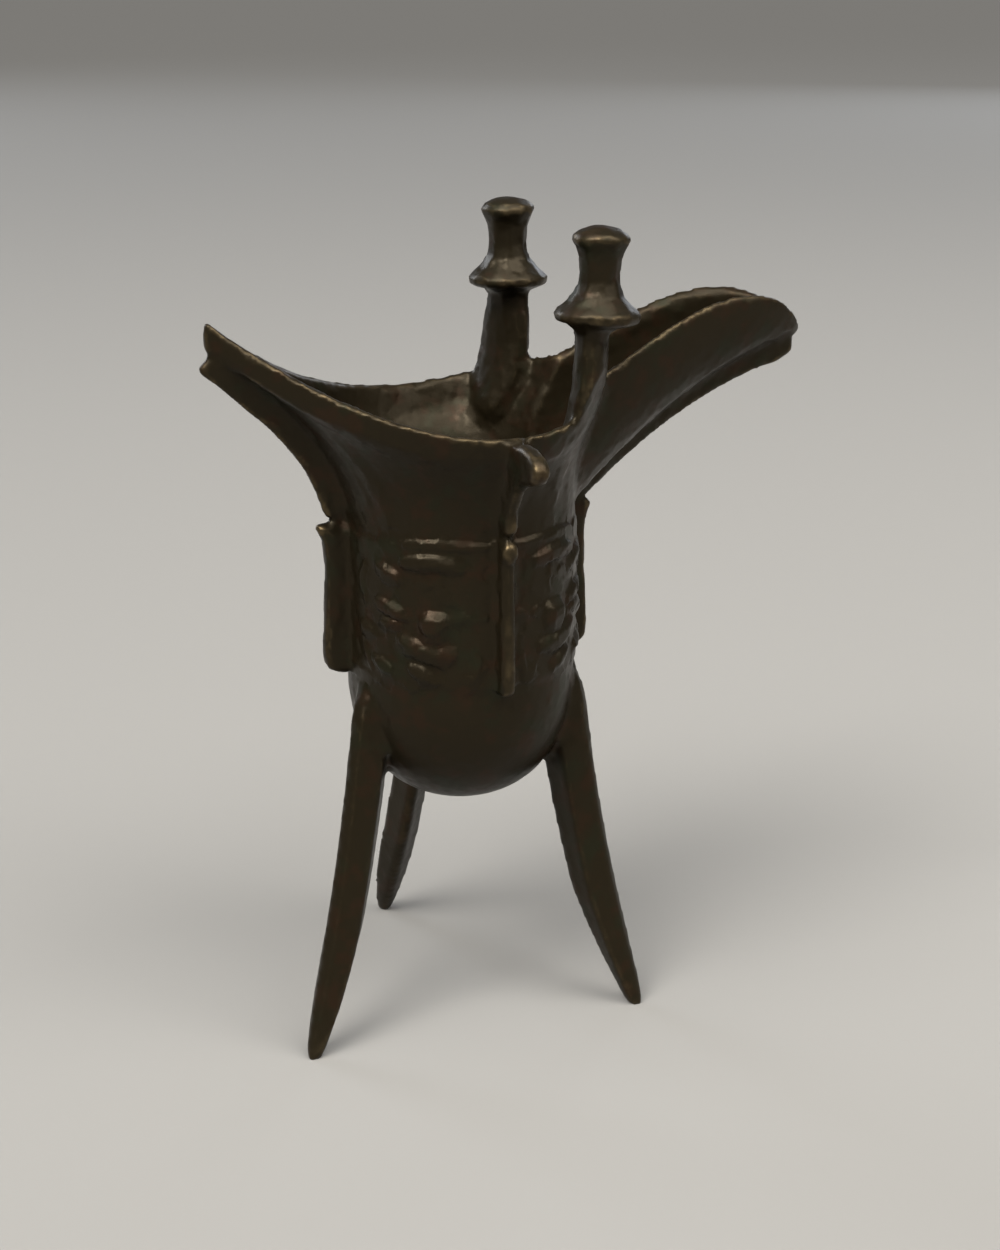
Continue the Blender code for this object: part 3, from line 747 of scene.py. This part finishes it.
def postShaft(side):
    length = capBase - cup["rimLow"]
    cosTurn = math.cos(post["turn"])
    sinTurn = math.sin(post["turn"])
    startX = post["x"] + (post["frontShift"] if side < 0 else 0)
    footShift = post["frontFootShift"] if side < 0 else post["footShift"]
    rings = []
    for down, shift, spread in eased(post["sections"], 4):
        z = capBase - down * length - (postDrop(side) if down < 0 else 0)
        middleX = startX - footShift * shift
        middleY = post["y"] - post["footInwards"] * post["footShift"] * shift**2
        size = max(1 + post["footSpread"] * spread, 0.1)
        ring = []
        for a in circle(post["shaftSides"]):
            long = size * post["halfBreadth"] * signedPower(math.cos(a), post["roundness"])
            short = min(size, 1) * post["halfThickness"] * signedPower(math.sin(a), post["roundness"])
            x = middleX + long * cosTurn - short * sinTurn
            ring.append((x, side * (middleY + long * sinTurn + short * cosTurn), z))
        rings.append(ring)
    return loft("shaft", rings)


def castVessel():
    vessel = cupSolid("jueCasting", 0, aboveRim)
    parts = [
        spoutSolid(),
        beltFlange((1, 0), blades["spoutFlangeReach"], blades["flangeThickness"]),
        beltFlange((-1, 0), blades["flangeReach"], blades["tailFlangeThickness"]),
        beltFlange((0, -1), **blades["front"]),
        flangeBead(),
        neckFlange(-1, blades["hookReach"], blades["front"]["shift"]),
        neckFlange(1, blades["backHookReach"]),
        tailKeel(),
        spoutKeel(),
    ]
    parts += [leg(place) for place in legs["places"]]
    for part in parts + [handle()]:
        combine(vessel, part, "UNION")
    space = spaceOverRim()
    combine(space, cupSolid("cavity", cup["wall"], aboveRim + cup["wall"]), "UNION")
    combine(space, spoutChannel(), "UNION")
    for side in (-1, 1):
        combine(space, postShaft(side), "DIFFERENCE")
    combine(vessel, space, "DIFFERENCE")
    for side in (-1, 1):
        combine(vessel, postCap(side), "UNION")
    return vessel


skin = {
    "voxel": 0.00098,
    "smoothing": 0.5,
    "regrowth": 0.53,
    "evening": 8,
    "settling": 0.55,
    "laterEvening": 16,
    "softening": 2,
    "cornerRise": 0.00009,
    "cornerSpread": 4,
    "cornerGain": 2.5,
    "filletSteps": 24,
    "legFillet": 0.05,
    "filletEnd": 0.0110,
    "fineBelow": 0.002,
    "fineAbove": 0.003,
    "fineOutside": 0.0016,
    "triangles": 190000,
}


def readRows(items, name, width, kind=np.float32):
    flat = np.empty(len(items) * width, kind)
    items.foreach_get(name, flat)
    return flat.reshape(-1, width)


def setCoordinates(mesh, points):
    mesh.vertices.foreach_set("co", points.astype(np.float32).ravel())
    mesh.update()


def neighbourMean(points, edges):
    # the mean of each point's neighbours along the edges
    total = np.zeros_like(points)
    count = np.bincount(edges.ravel(), minlength=len(points)).astype(float)
    for axis in range(points.shape[1]):
        total[:, axis] = np.bincount(edges[:, 0], points[edges[:, 1], axis], len(points))
        total[:, axis] += np.bincount(edges[:, 1], points[edges[:, 0], axis], len(points))
    return total / np.maximum(count, 1)[:, None]


def relaxed(points, edges, share):
    return points + share * (neighbourMean(points, edges) - points)


def evened(points, edges, times):
    # smooths out the small steps without shrinking the form
    for _ in range(times):
        points = relaxed(points, edges, skin["smoothing"])
        points = relaxed(points, edges, -skin["regrowth"])
    return points


def filleted(points, normals, edges):
    # fills the inner corners, so that joined parts melt into each other
    rise = ((neighbourMean(points, edges) - points) * normals).sum(axis=1, keepdims=True)
    corner = np.clip(rise / skin["cornerRise"], 0, 1)
    for _ in range(skin["cornerSpread"]):
        corner = neighbourMean(corner, edges)
    corner = np.clip(skin["cornerGain"] * corner, 0, 1)
    corner *= np.where(points[:, 2:] < cup["beltBottom"] - skin["filletEnd"], skin["legFillet"], 1)
    for _ in range(skin["filletSteps"]):
        points = relaxed(points, edges, skin["smoothing"] * corner)
    return points


def skinned(casting):
    # an even mesh all over the casting, which melts its joins together
    remesh = casting.modifiers.new("skin", "REMESH")
    remesh.mode = "VOXEL"
    remesh.voxel_size = skin["voxel"]
    remesh.use_smooth_shade = True
    mesh = evaluatedMesh(casting)
    casting.modifiers.clear()
    solid = bmesh.new()
    solid.from_mesh(casting.data)
    sharp = BVHTree.FromBMesh(solid)
    solid.free()
    refineBelt(mesh)
    edges = readRows(mesh.edges, "vertices", 2, np.int32)
    points = readRows(mesh.vertices, "co", 3).astype(float)
    points = evened(points, edges, skin["evening"])
    nearest = np.array([sharp.find_nearest(Vector(p))[0] for p in points])
    points = points + skin["settling"] * (nearest - points)
    points = evened(points, edges, skin["laterEvening"])
    for _ in range(skin["softening"]):
        points = relaxed(points, edges, skin["smoothing"])
    setCoordinates(mesh, points)
    normals = readRows(mesh.vertex_normals, "vector", 3).astype(float)
    setCoordinates(mesh, filleted(points, normals, edges))
    bpy.data.objects.remove(casting, do_unlink=True)
    return addObject("jueVessel", mesh)


def refineBelt(mesh):
    # twice as fine a mesh where the masks go
    bm = bmesh.new()
    bm.from_mesh(mesh)
    low = cup["beltBottom"] - skin["fineBelow"]
    high = cup["waist"] + skin["fineAbove"]
    inner = cup["halfWidth"] - 0.5 * cup["wall"]
    outer = cup["halfLength"] + skin["fineOutside"]
    chosen = []
    for face in bm.faces:
        centre = face.calc_center_median()
        if low < centre.z < high and inner < math.hypot(centre.x, centre.y) < outer:
            chosen.append(face)
    edges = list({edge for face in chosen for edge in face.edges})
    bmesh.ops.subdivide_edges(bm, edges=edges, cuts=1, use_grid_fill=True)
    bm.to_mesh(mesh)
    bm.free()


mask = {
    "reach": 0.0400,
    "stroke": 0.0052,
    "crest": 0.0013,
    "endWidth": 0.62,
    "endCrest": 0.60,
    "curlStretch": 1.25,
    "eyeArc": 0.0175,
    "eyeRise": 0.0197,
    "eyeLength": 0.0026,
    "eyeRadius": 0.0034,
    "eyeCrest": 0.0021,
}


def curl(middle, radius, first, last, count):
    turns = [math.radians(first + (last - first) * i / count) for i in range(count + 1)]
    rise = mask["curlStretch"] * radius
    return [(middle[0] + radius * math.cos(a), middle[1] + rise * math.sin(a)) for a in turns]


def maskStrokes():
    # half a mask: (share of its reach from the blade, share of the belt's height), relative width and height
    return [
        ([(0.260, 0.836), (0.350, 0.856), (0.450, 0.868), (0.560, 0.866), (0.660, 0.850)], 0.8, 0.95),
        ([(0.060, 0.955), (0.300, 0.975), (0.480, 0.985), (0.680, 0.975)], 0.42, 0.45),
        ([(0.850, 0.805), (0.750, 0.775), (0.665, 0.740)], 0.85, 0.9),
        ([(0.562, 0.720), (0.450, 0.735)] + curl((0.430, 0.680), 0.055, 100, 230, 3), 0.5, 0.3),
        ([(0.860, 0.570), (0.740, 0.535), (0.640, 0.500)], 0.85, 0.9),
        ([(0.830, 0.455), (0.670, 0.440)], 0.7, 0.8),
        ([(0.340, 0.490), (0.240, 0.515), (0.100, 0.510)], 0.55, 0.4),
        ([(0.680, 0.348), (0.570, 0.305), (0.450, 0.278), (0.310, 0.268)], 1.0, 1.0),
        ([(0.145, 0.360), (0.150, 0.238)] + curl((0.210, 0.171), 0.055, 170, 340, 3), 0.55, 0.4),
        ([(0.605, 0.170), (0.510, 0.135), (0.440, 0.105)], 0.85, 0.9),
        ([(0.905, 0.190), (0.810, 0.150), (0.730, 0.115)], 0.8, 0.8),
        ([(1.010, 0.250), (0.930, 0.110)], 0.6, 0.6),
        ([(1.040, 0.397), (0.915, 0.368)], 0.7, 0.8),
        ([(0.980, 0.560), (1.012, 0.690), (0.963, 0.810)], 0.6, 0.6),
    ]


def flatLines(name, lines):
    # lines laid flat, x along the belt and y up it, whose points carry how wide and high they stand
    bm = bmesh.new()
    half = bm.verts.layers.float.new("halfWidth")
    crest = bm.verts.layers.float.new("crest")
    for path, halfWidth, height, tapered in lines:
        last = None
        for i, point in enumerate(path):
            share = i / (len(path) - 1)
            full = min(3 * share, 3 * (1 - share), 1.0) ** 0.7 if tapered else 1.0
            vertex = bm.verts.new((*point, 0))
            vertex[half] = halfWidth * (mask["endWidth"] + (1 - mask["endWidth"]) * full)
            vertex[crest] = height * (mask["endCrest"] + (1 - mask["endCrest"]) * full)
            if last:
                bm.edges.new((last, vertex))
            last = vertex
    return addObject(name, meshOf(name, bm))


def maskLines():
    beltHeight = cup["waist"] - cup["beltBottom"]
    lines = []
    for path, width, height in maskStrokes():
        placed = [(arc * mask["reach"], up * beltHeight) for arc, up in path]
        halfWidth = width * mask["stroke"] / 2
        lines.append((eased(placed, 10), halfWidth, height * mask["crest"], True))
    return flatLines("maskLines", lines)


def eyeLines():
    arc = mask["eyeArc"]
    rise = mask["eyeRise"]
    length = mask["eyeLength"]
    boss = [(arc - length / 2 + length * i / 8, rise) for i in range(9)]
    return flatLines("eyeLines", [(boss, mask["eyeRadius"], mask["eyeCrest"], False)])


class NodeBuilder:
    # makes and links the nodes of one tree
    def __init__(self, tree):
        self.tree = tree

    def node(self, kind, settings=None, **inputs):
        made = self.tree.nodes.new(kind)
        for name, value in (settings or {}).items():
            setattr(made, name, value)
        for name, value in inputs.items():
            key = int(name[1:]) if name[0] == "i" and name[1:].isdigit() else name.replace("_", " ")
            self.plug(value, made.inputs[key])
        return made

    def plug(self, value, socket):
        if isinstance(value, bpy.types.NodeSocket):
            self.tree.links.new(value, socket)
        elif isinstance(value, bpy.types.Node):
            self.tree.links.new(value.outputs[0], socket)
        else:
            socket.default_value = value

    def chain(self, kind, operation, values):
        made = self.node(kind, {"operation": operation})
        for value, socket in zip(values, made.inputs):
            self.plug(value, socket)
        return made.outputs

    def math(self, operation, *values):
        return self.chain("ShaderNodeMath", operation, values)[0]

    def times(self, *values):
        return self.math("MULTIPLY", *values)

    def vector(self, operation, *values):
        made = self.chain("ShaderNodeVectorMath", operation, values)
        return made["Value"] if operation in ("DOT_PRODUCT", "LENGTH") else made[0]

    def ramp(self, value, low, high, kind="SMOOTHSTEP", start=0.0):
        made = self.node("ShaderNodeMapRange", {"interpolation_type": kind, "clamp": True}, Value=value)
        for name, level in (("From Min", low), ("From Max", high), ("To Min", start)):
            self.plug(level, made.inputs[name])
        return made.outputs[0]

    def noise(self, size, detail, seed=None, **inputs):
        # noise with lumps of about the size
        settings = {} if seed is None else {"noise_dimensions": "4D"}
        made = self.node("ShaderNodeTexNoise", settings, Detail=detail, **inputs)
        self.plug(self.math("DIVIDE", 1.0, size), made.inputs["Scale"])
        if seed is not None:
            self.plug(seed, made.inputs["W"])
        return made.outputs[0]

    def mixed(self, factor, first, second):
        made = self.node("ShaderNodeMix", {"data_type": "RGBA"}, Factor=factor, i6=first, i7=second)
        return made.outputs[2]

    def moved(self, geometry, direction, amount):
        offset = self.node("ShaderNodeVectorMath", {"operation": "SCALE"}, i0=direction, Scale=amount)
        return self.node("GeometryNodeSetPosition", None, Geometry=geometry, Offset=offset)

    def fromNearest(self, points, values, kind, spot=None):
        # what the nearest of the points carries
        nearest = self.node("GeometryNodeSampleNearest", {"domain": "POINT"}, Geometry=points)
        if spot is not None:
            self.plug(spot, nearest.inputs["Sample Position"])
        settings = {"data_type": kind, "domain": "POINT"}
        taken = []
        for value in values:
            picked = self.node("GeometryNodeSampleIndex", settings, Geometry=points)
            self.plug(value, picked.inputs["Value"])
            self.plug(nearest, picked.inputs["Index"])
            taken.append(picked.outputs[0])
        return taken


surface = {
    "Half Length": cup["halfLength"],
    "Half Width": cup["halfWidth"],
    "Belt Bottom": cup["beltBottom"],
    "Wall From": 0.965,
    "Wall To": 1.03,
    "Slope Below": 0.50,
    "Dome Power": 1.1,
    "Flat Spacing": 0.0034,
    "Flat Density": 300000.0,
    "Flatness": 0.90,
    "Flat Depth": 0.00026,
    "Alike From": 0.70,
    "Alike Full": 0.90,
    "Unevenness": 0.00032,
    "Uneven Size": 0.0110,
    "Calm Below": 0.060,
    "Calm Above": 0.084,
    "Calm Share": 0.25,
    "Pitting": 0.00016,
    "Pit Size": 0.0032,
    "Wear Reach": 6,
    "Seed": 4,
}


def unrolledBelt(b, given, apart):
    # x along the belt from the front or back blade and y up it, and whether a point is on its outer wall
    along = b.math("DIVIDE", apart["X"], given["Half Length"])
    across = b.math("DIVIDE", b.math("ABSOLUTE", apart["Y"]), given["Half Width"])
    turn = b.math("SUBTRACT", math.pi / 2, b.math("ARCTAN2", across, along))
    mean = b.times(b.math("ADD", given["Half Length"], given["Half Width"]), 0.5)
    arc = b.times(b.math("ABSOLUTE", turn), mean)
    rise = b.math("SUBTRACT", apart["Z"], given["Belt Bottom"])
    flat = b.node("ShaderNodeCombineXYZ", None, X=arc, Y=rise).outputs[0]
    radius = b.vector("LENGTH", b.node("ShaderNodeCombineXYZ", None, X=along, Y=across).outputs[0])
    outside = b.math("GREATER_THAN", radius, given["Wall From"])
    return flat, b.times(outside, b.math("LESS_THAN", radius, given["Wall To"]))


def lineHeight(b, given, flat, name):
    # how high one set of lines stands at each point of the unrolled belt
    lines = b.node("GeometryNodeObjectInfo", None, Object=given[name]).outputs["Geometry"]
    near = b.node("GeometryNodeProximity", {"target_element": "EDGES"}, i0=lines, Sample_Position=flat)
    reads = []
    for attribute in ("halfWidth", "crest"):
        read = b.node("GeometryNodeInputNamedAttribute", {"data_type": "FLOAT"}, Name=attribute)
        reads.append(read.outputs["Attribute"])
    halfWidth, crest = b.fromNearest(lines, reads, "FLOAT", flat)
    away = b.vector("SUBTRACT", flat, near.outputs["Position"])
    away = b.node("ShaderNodeSeparateXYZ", None, Vector=away).outputs
    below = b.times(b.math("MINIMUM", away["Y"], 0.0), given["Slope Below"])
    upright = b.math("ADD", b.math("MAXIMUM", away["Y"], 0.0), below)
    distance = b.vector("LENGTH", b.node("ShaderNodeCombineXYZ", None, X=away["X"], Y=upright).outputs[0])
    share = b.math("DIVIDE", distance, halfWidth)
    dome = b.math("MAXIMUM", b.math("SUBTRACT", 1.0, b.math("POWER", share, 2.0)), 0.0)
    return b.times(b.math("POWER", dome, given["Dome Power"]), crest)


def flattened(b, given, carved, place, normal, rough):
    # small flats left by scraping and corrosion: each point moves towards the nearest spot's own plane
    spots = b.node("GeometryNodeDistributePointsOnFaces", {"distribute_method": "POISSON"}, Mesh=carved)
    for name, value in (("Distance Min", "Flat Spacing"), ("Density Max", "Flat Density"), ("Seed", "Seed")):
        b.plug(given[value], spots.inputs[name])
    values = (place, spots.outputs["Normal"])
    middle, facing = b.fromNearest(spots.outputs["Points"], values, "FLOAT_VECTOR")
    proud = b.vector("DOT_PRODUCT", b.vector("SUBTRACT", place, middle), facing)
    proud = b.math("MAXIMUM", proud, b.times(given["Flat Depth"], -1.0))
    proud = b.math("MINIMUM", proud, given["Flat Depth"])
    alike = b.vector("DOT_PRODUCT", normal, facing)
    alike = b.ramp(alike, given["Alike From"], given["Alike Full"], "LINEAR")
    flatness = b.times(given["Flatness"], b.times(rough, -1.0))
    return b.moved(carved, facing, b.times(b.times(proud, alike), flatness))


def castSurfaceTree():
    tree = bpy.data.node_groups.new("castSurface", "GeometryNodeTree")
    face = tree.interface
    for way in ("INPUT", "OUTPUT"):
        face.new_socket("Geometry", in_out=way, socket_type="NodeSocketGeometry")
    for name, kind in (("Mask Lines", "Object"), ("Eye Lines", "Object"), ("Material", "Material")):
        face.new_socket(name, in_out="INPUT", socket_type="NodeSocket" + kind)
    for name, value in surface.items():
        kind = "NodeSocketInt" if isinstance(value, int) else "NodeSocketFloat"
        face.new_socket(name, in_out="INPUT", socket_type=kind)
    b = NodeBuilder(tree)
    given = b.node("NodeGroupInput").outputs
    place = b.node("GeometryNodeInputPosition").outputs[0]
    normal = b.node("GeometryNodeInputNormal").outputs[0]
    apart = b.node("ShaderNodeSeparateXYZ", None, Vector=place).outputs

    flat, onWall = unrolledBelt(b, given, apart)
    heights = [lineHeight(b, given, flat, name) for name in ("Mask Lines", "Eye Lines")]
    raised = b.times(b.math("MAXIMUM", *heights), onWall)
    carved = b.moved(given["Geometry"], normal, raised)

    # the legs are smoother than the cup
    rough = b.ramp(apart["Z"], given["Calm Below"], given["Calm Above"], "LINEAR", given["Calm Share"])
    carved = flattened(b, given, carved, place, normal, rough)

    # the casting's own unevenness, broad and fine
    offsets = []
    for size, amount, shift in (("Uneven Size", "Unevenness", 0.0), ("Pit Size", "Pitting", 7.0)):
        noise = b.noise(given[size], 1.0, b.math("ADD", given["Seed"], shift))
        offsets.append(b.times(b.math("SUBTRACT", noise, 0.5), given[amount]))
    uneven = b.moved(carved, normal, b.times(b.math("ADD", *offsets), rough))

    # how far a point stands out from its surroundings, in millimetres, for the rubbed wear with its painted
    # highlight and for dirt
    blurred = b.node("GeometryNodeBlurAttribute", {"data_type": "FLOAT_VECTOR"}, Value=place)
    b.plug(given["Wear Reach"], blurred.inputs["Iterations"])
    proud = b.vector("DOT_PRODUCT", b.vector("SUBTRACT", place, blurred), normal)
    settings = {"data_type": "FLOAT", "domain": "POINT"}
    marked = b.node("GeometryNodeStoreNamedAttribute", settings, Geometry=uneven, Name="proud")
    b.plug(b.times(proud, 1000.0), marked.inputs["Value"])
    real = b.node("GeometryNodeRealizeInstances", None, Geometry=marked)
    coated = b.node("GeometryNodeSetMaterial", None, Geometry=real, Material=given["Material"])
    b.plug(coated, b.node("NodeGroupOutput").inputs["Geometry"])
    return tree


def finishSurface(vessel, material):
    strokes = maskLines()
    eyes = eyeLines()
    bpy.context.view_layer.update()
    tree = castSurfaceTree()
    finish = vessel.modifiers.new("castSurface", "NODES")
    finish.node_group = tree
    values = {**surface, "Mask Lines": strokes, "Eye Lines": eyes, "Material": material}
    for item in tree.interface.items_tree:
        if item.in_out == "INPUT" and item.name in values:
            finish[item.identifier] = values[item.name]
    applyModifiers(vessel)
    for helper in (strokes, eyes):
        bpy.data.objects.remove(helper, do_unlink=True)


def thin(vessel):
    # fewer triangles where the surface is plain
    fewer = vessel.modifiers.new("thin", "DECIMATE")
    fewer.ratio = min(skin["triangles"] / triangleCount(vessel), 1.0)
    applyModifiers(vessel)


def intoFrame(vessel):
    # moved onto the solid's place, and kept inside its box
    points = readRows(vessel.data.vertices, "co", 3).astype(float) + np.array([axisX, axisY, 0])
    points = np.clip(points, np.array(solidLow), np.array(solidHigh))
    setCoordinates(vessel.data, points)
    vessel.data.shade_smooth()


def materialGroup(name, inputs, outputs):
    group = bpy.data.node_groups.new(name, "ShaderNodeTree")
    for label, value in inputs.items():
        kind = "NodeSocketColor" if isinstance(value, tuple) else "NodeSocketFloat"
        made = group.interface.new_socket(label, in_out="INPUT", socket_type=kind)
        made.default_value = value
    for label in outputs:
        kind = "NodeSocketColor" if label == "Color" else "NodeSocketFloat"
        group.interface.new_socket(label, in_out="OUTPUT", socket_type=kind)
    b = NodeBuilder(group)
    return group, b, b.node("NodeGroupInput").outputs, b.node("NodeGroupOutput").inputs


def patinaMottle():
    # clouds of two tarnish colours over the dark bronze
    inputs = {
        "Base": (0.020, 0.016, 0.009, 1),
        "Warm": (0.050, 0.020, 0.011, 1),
        "Green": (0.022, 0.032, 0.019, 1),
        "Size": 0.006,
        "Amount": 0.6,
        "Unevenness": 0.30,
    }
    group, b, given, out = materialGroup("patinaMottle", inputs, ("Color", "Roughness"))
    spot = b.node("ShaderNodeTexCoord").outputs["Object"]
    masks = []
    for seed, finer in ((1.0, 1.0), (5.0, 0.7), (9.0, 2.6)):
        size = b.math("DIVIDE", given["Size"], finer)
        masks.append(b.noise(size, 3.0, seed, Vector=spot))
    warm = b.times(b.ramp(masks[0], 0.50, 0.66), given["Amount"])
    green = b.times(b.ramp(masks[1], 0.52, 0.68), given["Amount"])
    colour = b.mixed(green, b.mixed(warm, given["Base"], given["Warm"]), given["Green"])
    b.plug(colour, out["Color"])
    b.plug(b.times(b.math("SUBTRACT", masks[2], 0.5), given["Unevenness"]), out["Roughness"])
    return group


def wornEdgeHighlight():
    # where the metal is rubbed bright, from the mesh's own marks broken up by noise; this bright rubbed
    # colour is partly real wear and partly a painted highlight on the relief tops and edges
    inputs = {"Start": 0.20, "Full": 0.60, "Size": 0.004, "Break": 0.8}
    group, b, given, out = materialGroup("wornEdgeHighlight", inputs, ("Worn Highlight", "Sunk"))
    proud = b.node("ShaderNodeAttribute", {"attribute_name": "proud"}).outputs["Fac"]
    spot = b.node("ShaderNodeTexCoord").outputs["Object"]
    patches = b.ramp(b.noise(given["Size"], 4.0, Vector=spot), 0.38, 0.62)
    kept = b.math("SUBTRACT", 1.0, b.times(b.math("SUBTRACT", 1.0, patches), given["Break"]))
    b.plug(b.times(b.ramp(proud, given["Start"], given["Full"]), kept), out["Worn Highlight"])
    b.plug(b.ramp(b.times(proud, -1.0), given["Start"], given["Full"]), out["Sunk"])
    return group


def castGrain():
    # the fine grain of an old casting
    group, b, given, out = materialGroup("castGrain", {"Size": 0.0007, "Depth": 0.00002}, ("Height",))
    spot = b.node("ShaderNodeTexCoord").outputs["Object"]
    noise = b.noise(given["Size"], 3.0, Vector=spot)
    b.plug(b.times(noise, given["Depth"]), out["Height"])
    return group


bronze = {
    "base": (0.0200, 0.0149, 0.0074, 1),
    "warm": (0.0292, 0.0150, 0.0076, 1),
    "green": (0.0166, 0.0184, 0.0092, 1),
    # the rubbed colour of proud points: partly real wear, partly a painted highlight on the relief tops and
    # the rim
    "rubbedHighlight": (0.086, 0.064, 0.035, 1),
    "metallic": 0.50,
    "rubbedMetallic": 0.80,
    "roughness": 0.38,
    "sunkRoughness": 0.2,
    "specular": 0.18,
}


def makeBronze():
    material = bpy.data.materials.new("bronze")
    material.use_nodes = True
    b = NodeBuilder(material.node_tree)
    shader = material.node_tree.nodes["Principled BSDF"]
    mottle = b.node("ShaderNodeGroup", {"node_tree": patinaMottle()})
    for name in ("base", "warm", "green"):
        mottle.inputs[name.capitalize()].default_value = bronze[name]
    wornHighlight = b.node("ShaderNodeGroup", {"node_tree": wornEdgeHighlight()})
    grain = b.node("ShaderNodeGroup", {"node_tree": castGrain()})
    # proud points take the rubbed colour, partly real wear and partly a painted highlight
    colour = b.mixed(wornHighlight.outputs["Worn Highlight"], mottle.outputs["Color"], bronze["rubbedHighlight"])
    b.plug(colour, shader.inputs["Base Color"])
    metal = b.times(wornHighlight.outputs["Worn Highlight"], bronze["rubbedMetallic"] - bronze["metallic"])
    b.plug(b.math("ADD", metal, bronze["metallic"]), shader.inputs["Metallic"])
    rough = b.math("ADD", mottle.outputs["Roughness"], bronze["roughness"])
    rough = b.math("ADD", rough, b.times(wornHighlight.outputs["Sunk"], bronze["sunkRoughness"]))
    b.plug(rough, shader.inputs["Roughness"])
    shader.inputs["Specular IOR Level"].default_value = bronze["specular"]
    bump = b.node("ShaderNodeBump", None, Height=grain, Distance=1.0, Strength=1.0)
    b.plug(bump, shader.inputs["Normal"])
    return material


print("casting the vessel")
casting = castVessel()
print("casting triangles", triangleCount(casting))
jue = skinned(casting)
print("finishing its surface")
finishSurface(jue, makeBronze())
thin(jue)
intoFrame(jue)
print("surface triangles", triangleCount(jue))
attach(jue, "root")
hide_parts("jue")

studio = {
    "floorSize": 60.0,
    "floorColour": (0.265, 0.262, 0.256, 1),
    "worldColour": (0.92, 0.95, 1.0, 1),
    "worldStrength": 0.14,
    "sunStrength": 2.4,
    "sunAngle": math.radians(28),
    "sunAim": (0.55, 0.30, -0.78),
    "sunColour": (1.0, 0.955, 0.88),
    "aimHeight": 0.12,
    # each lamp's name, place from the cup's axis, size, power and colour
    "lamps": (
        ("above", (-0.45, -0.65, 2.2), 2.6, 60.0, (1.0, 0.965, 0.90)),
        ("rightAbove", (1.05, -1.10, 2.05), 1.8, 40.0, (1.0, 0.955, 0.88)),
        ("leftRim", (-2.6, 4.9, 2.1), 2.4, 94.0, (0.87, 0.92, 1.0)),
        ("rightRim", (3.5, 3.5, 1.6), 2.0, 25.0, (0.85, 0.91, 1.0)),
        ("fill", (1.3, -1.3, 0.90), 0.8, 3.2, (1.0, 0.97, 0.93)),
    ),
}


def makeFloor():
    bm = bmesh.new()
    bmesh.ops.create_grid(bm, x_segments=1, y_segments=1, size=studio["floorSize"])
    floor = addObject("floor", meshOf("floor", bm))
    paint = bpy.data.materials.new("floorPaint")
    paint.use_nodes = True
    shader = paint.node_tree.nodes["Principled BSDF"]
    shader.inputs["Base Color"].default_value = studio["floorColour"]
    shader.inputs["Roughness"].default_value = 0.9
    floor.data.materials.append(paint)


def aimed(made, direction):
    made.rotation_mode = "QUATERNION"
    made.rotation_quaternion = Vector(direction).to_track_quat("-Z", "Y")


def softLight(name, place, size, power, colour):
    lamp = bpy.data.lights.new(name, "AREA")
    lamp.shape = "DISK"
    lamp.size = size
    lamp.energy = power
    lamp.color = colour
    made = addObject(name, lamp)
    made.location = Vector(place) + Vector((axisX, axisY, 0))
    aimed(made, Vector((axisX, axisY, studio["aimHeight"])) - made.location)


def makeStudio():
    makeFloor()
    world = bpy.data.worlds.new("studio")
    bpy.context.scene.world = world
    world.use_nodes = True
    back = world.node_tree.nodes["Background"]
    back.inputs["Color"].default_value = studio["worldColour"]
    back.inputs["Strength"].default_value = studio["worldStrength"]
    lamp = bpy.data.lights.new("overhead", "SUN")
    lamp.energy = studio["sunStrength"]
    lamp.angle = studio["sunAngle"]
    lamp.color = studio["sunColour"]
    aimed(addObject("overhead", lamp), studio["sunAim"])
    for settings in studio["lamps"]:
        softLight(*settings)


view = {
    "turn": math.radians(21.079),
    "height": math.radians(17.81),
    "roll": math.radians(-0.126),
    "distance": 0.55429,
    "aimAcross": 0.011015,
    "aimHeight": 0.110477,
    "lens": 57.6,
}


def makeCamera():
    # aimed at a point beside the cup's axis, along the photo's line of sight
    lens = bpy.data.cameras.new("camera")
    lens.lens = view["lens"]
    lens.clip_start = 0.01
    camera = addObject("camera", lens)
    place = Matrix.Translation((axisX, axisY, view["aimHeight"])) @ Matrix.Rotation(-view["turn"], 4, "Z")
    tilt = Matrix.Rotation(math.radians(90) - view["height"], 4, "X") @ Matrix.Rotation(view["roll"], 4, "Z")
    aside = Matrix.Translation((view["aimAcross"], 0, 0))
    camera.matrix_world = place @ aside @ tilt @ Matrix.Translation((0, 0, view["distance"]))
    bpy.context.scene.camera = camera


makeStudio()
makeCamera()
bpy.context.scene.view_settings.view_transform = "Standard"
bpy.context.view_layer.update()
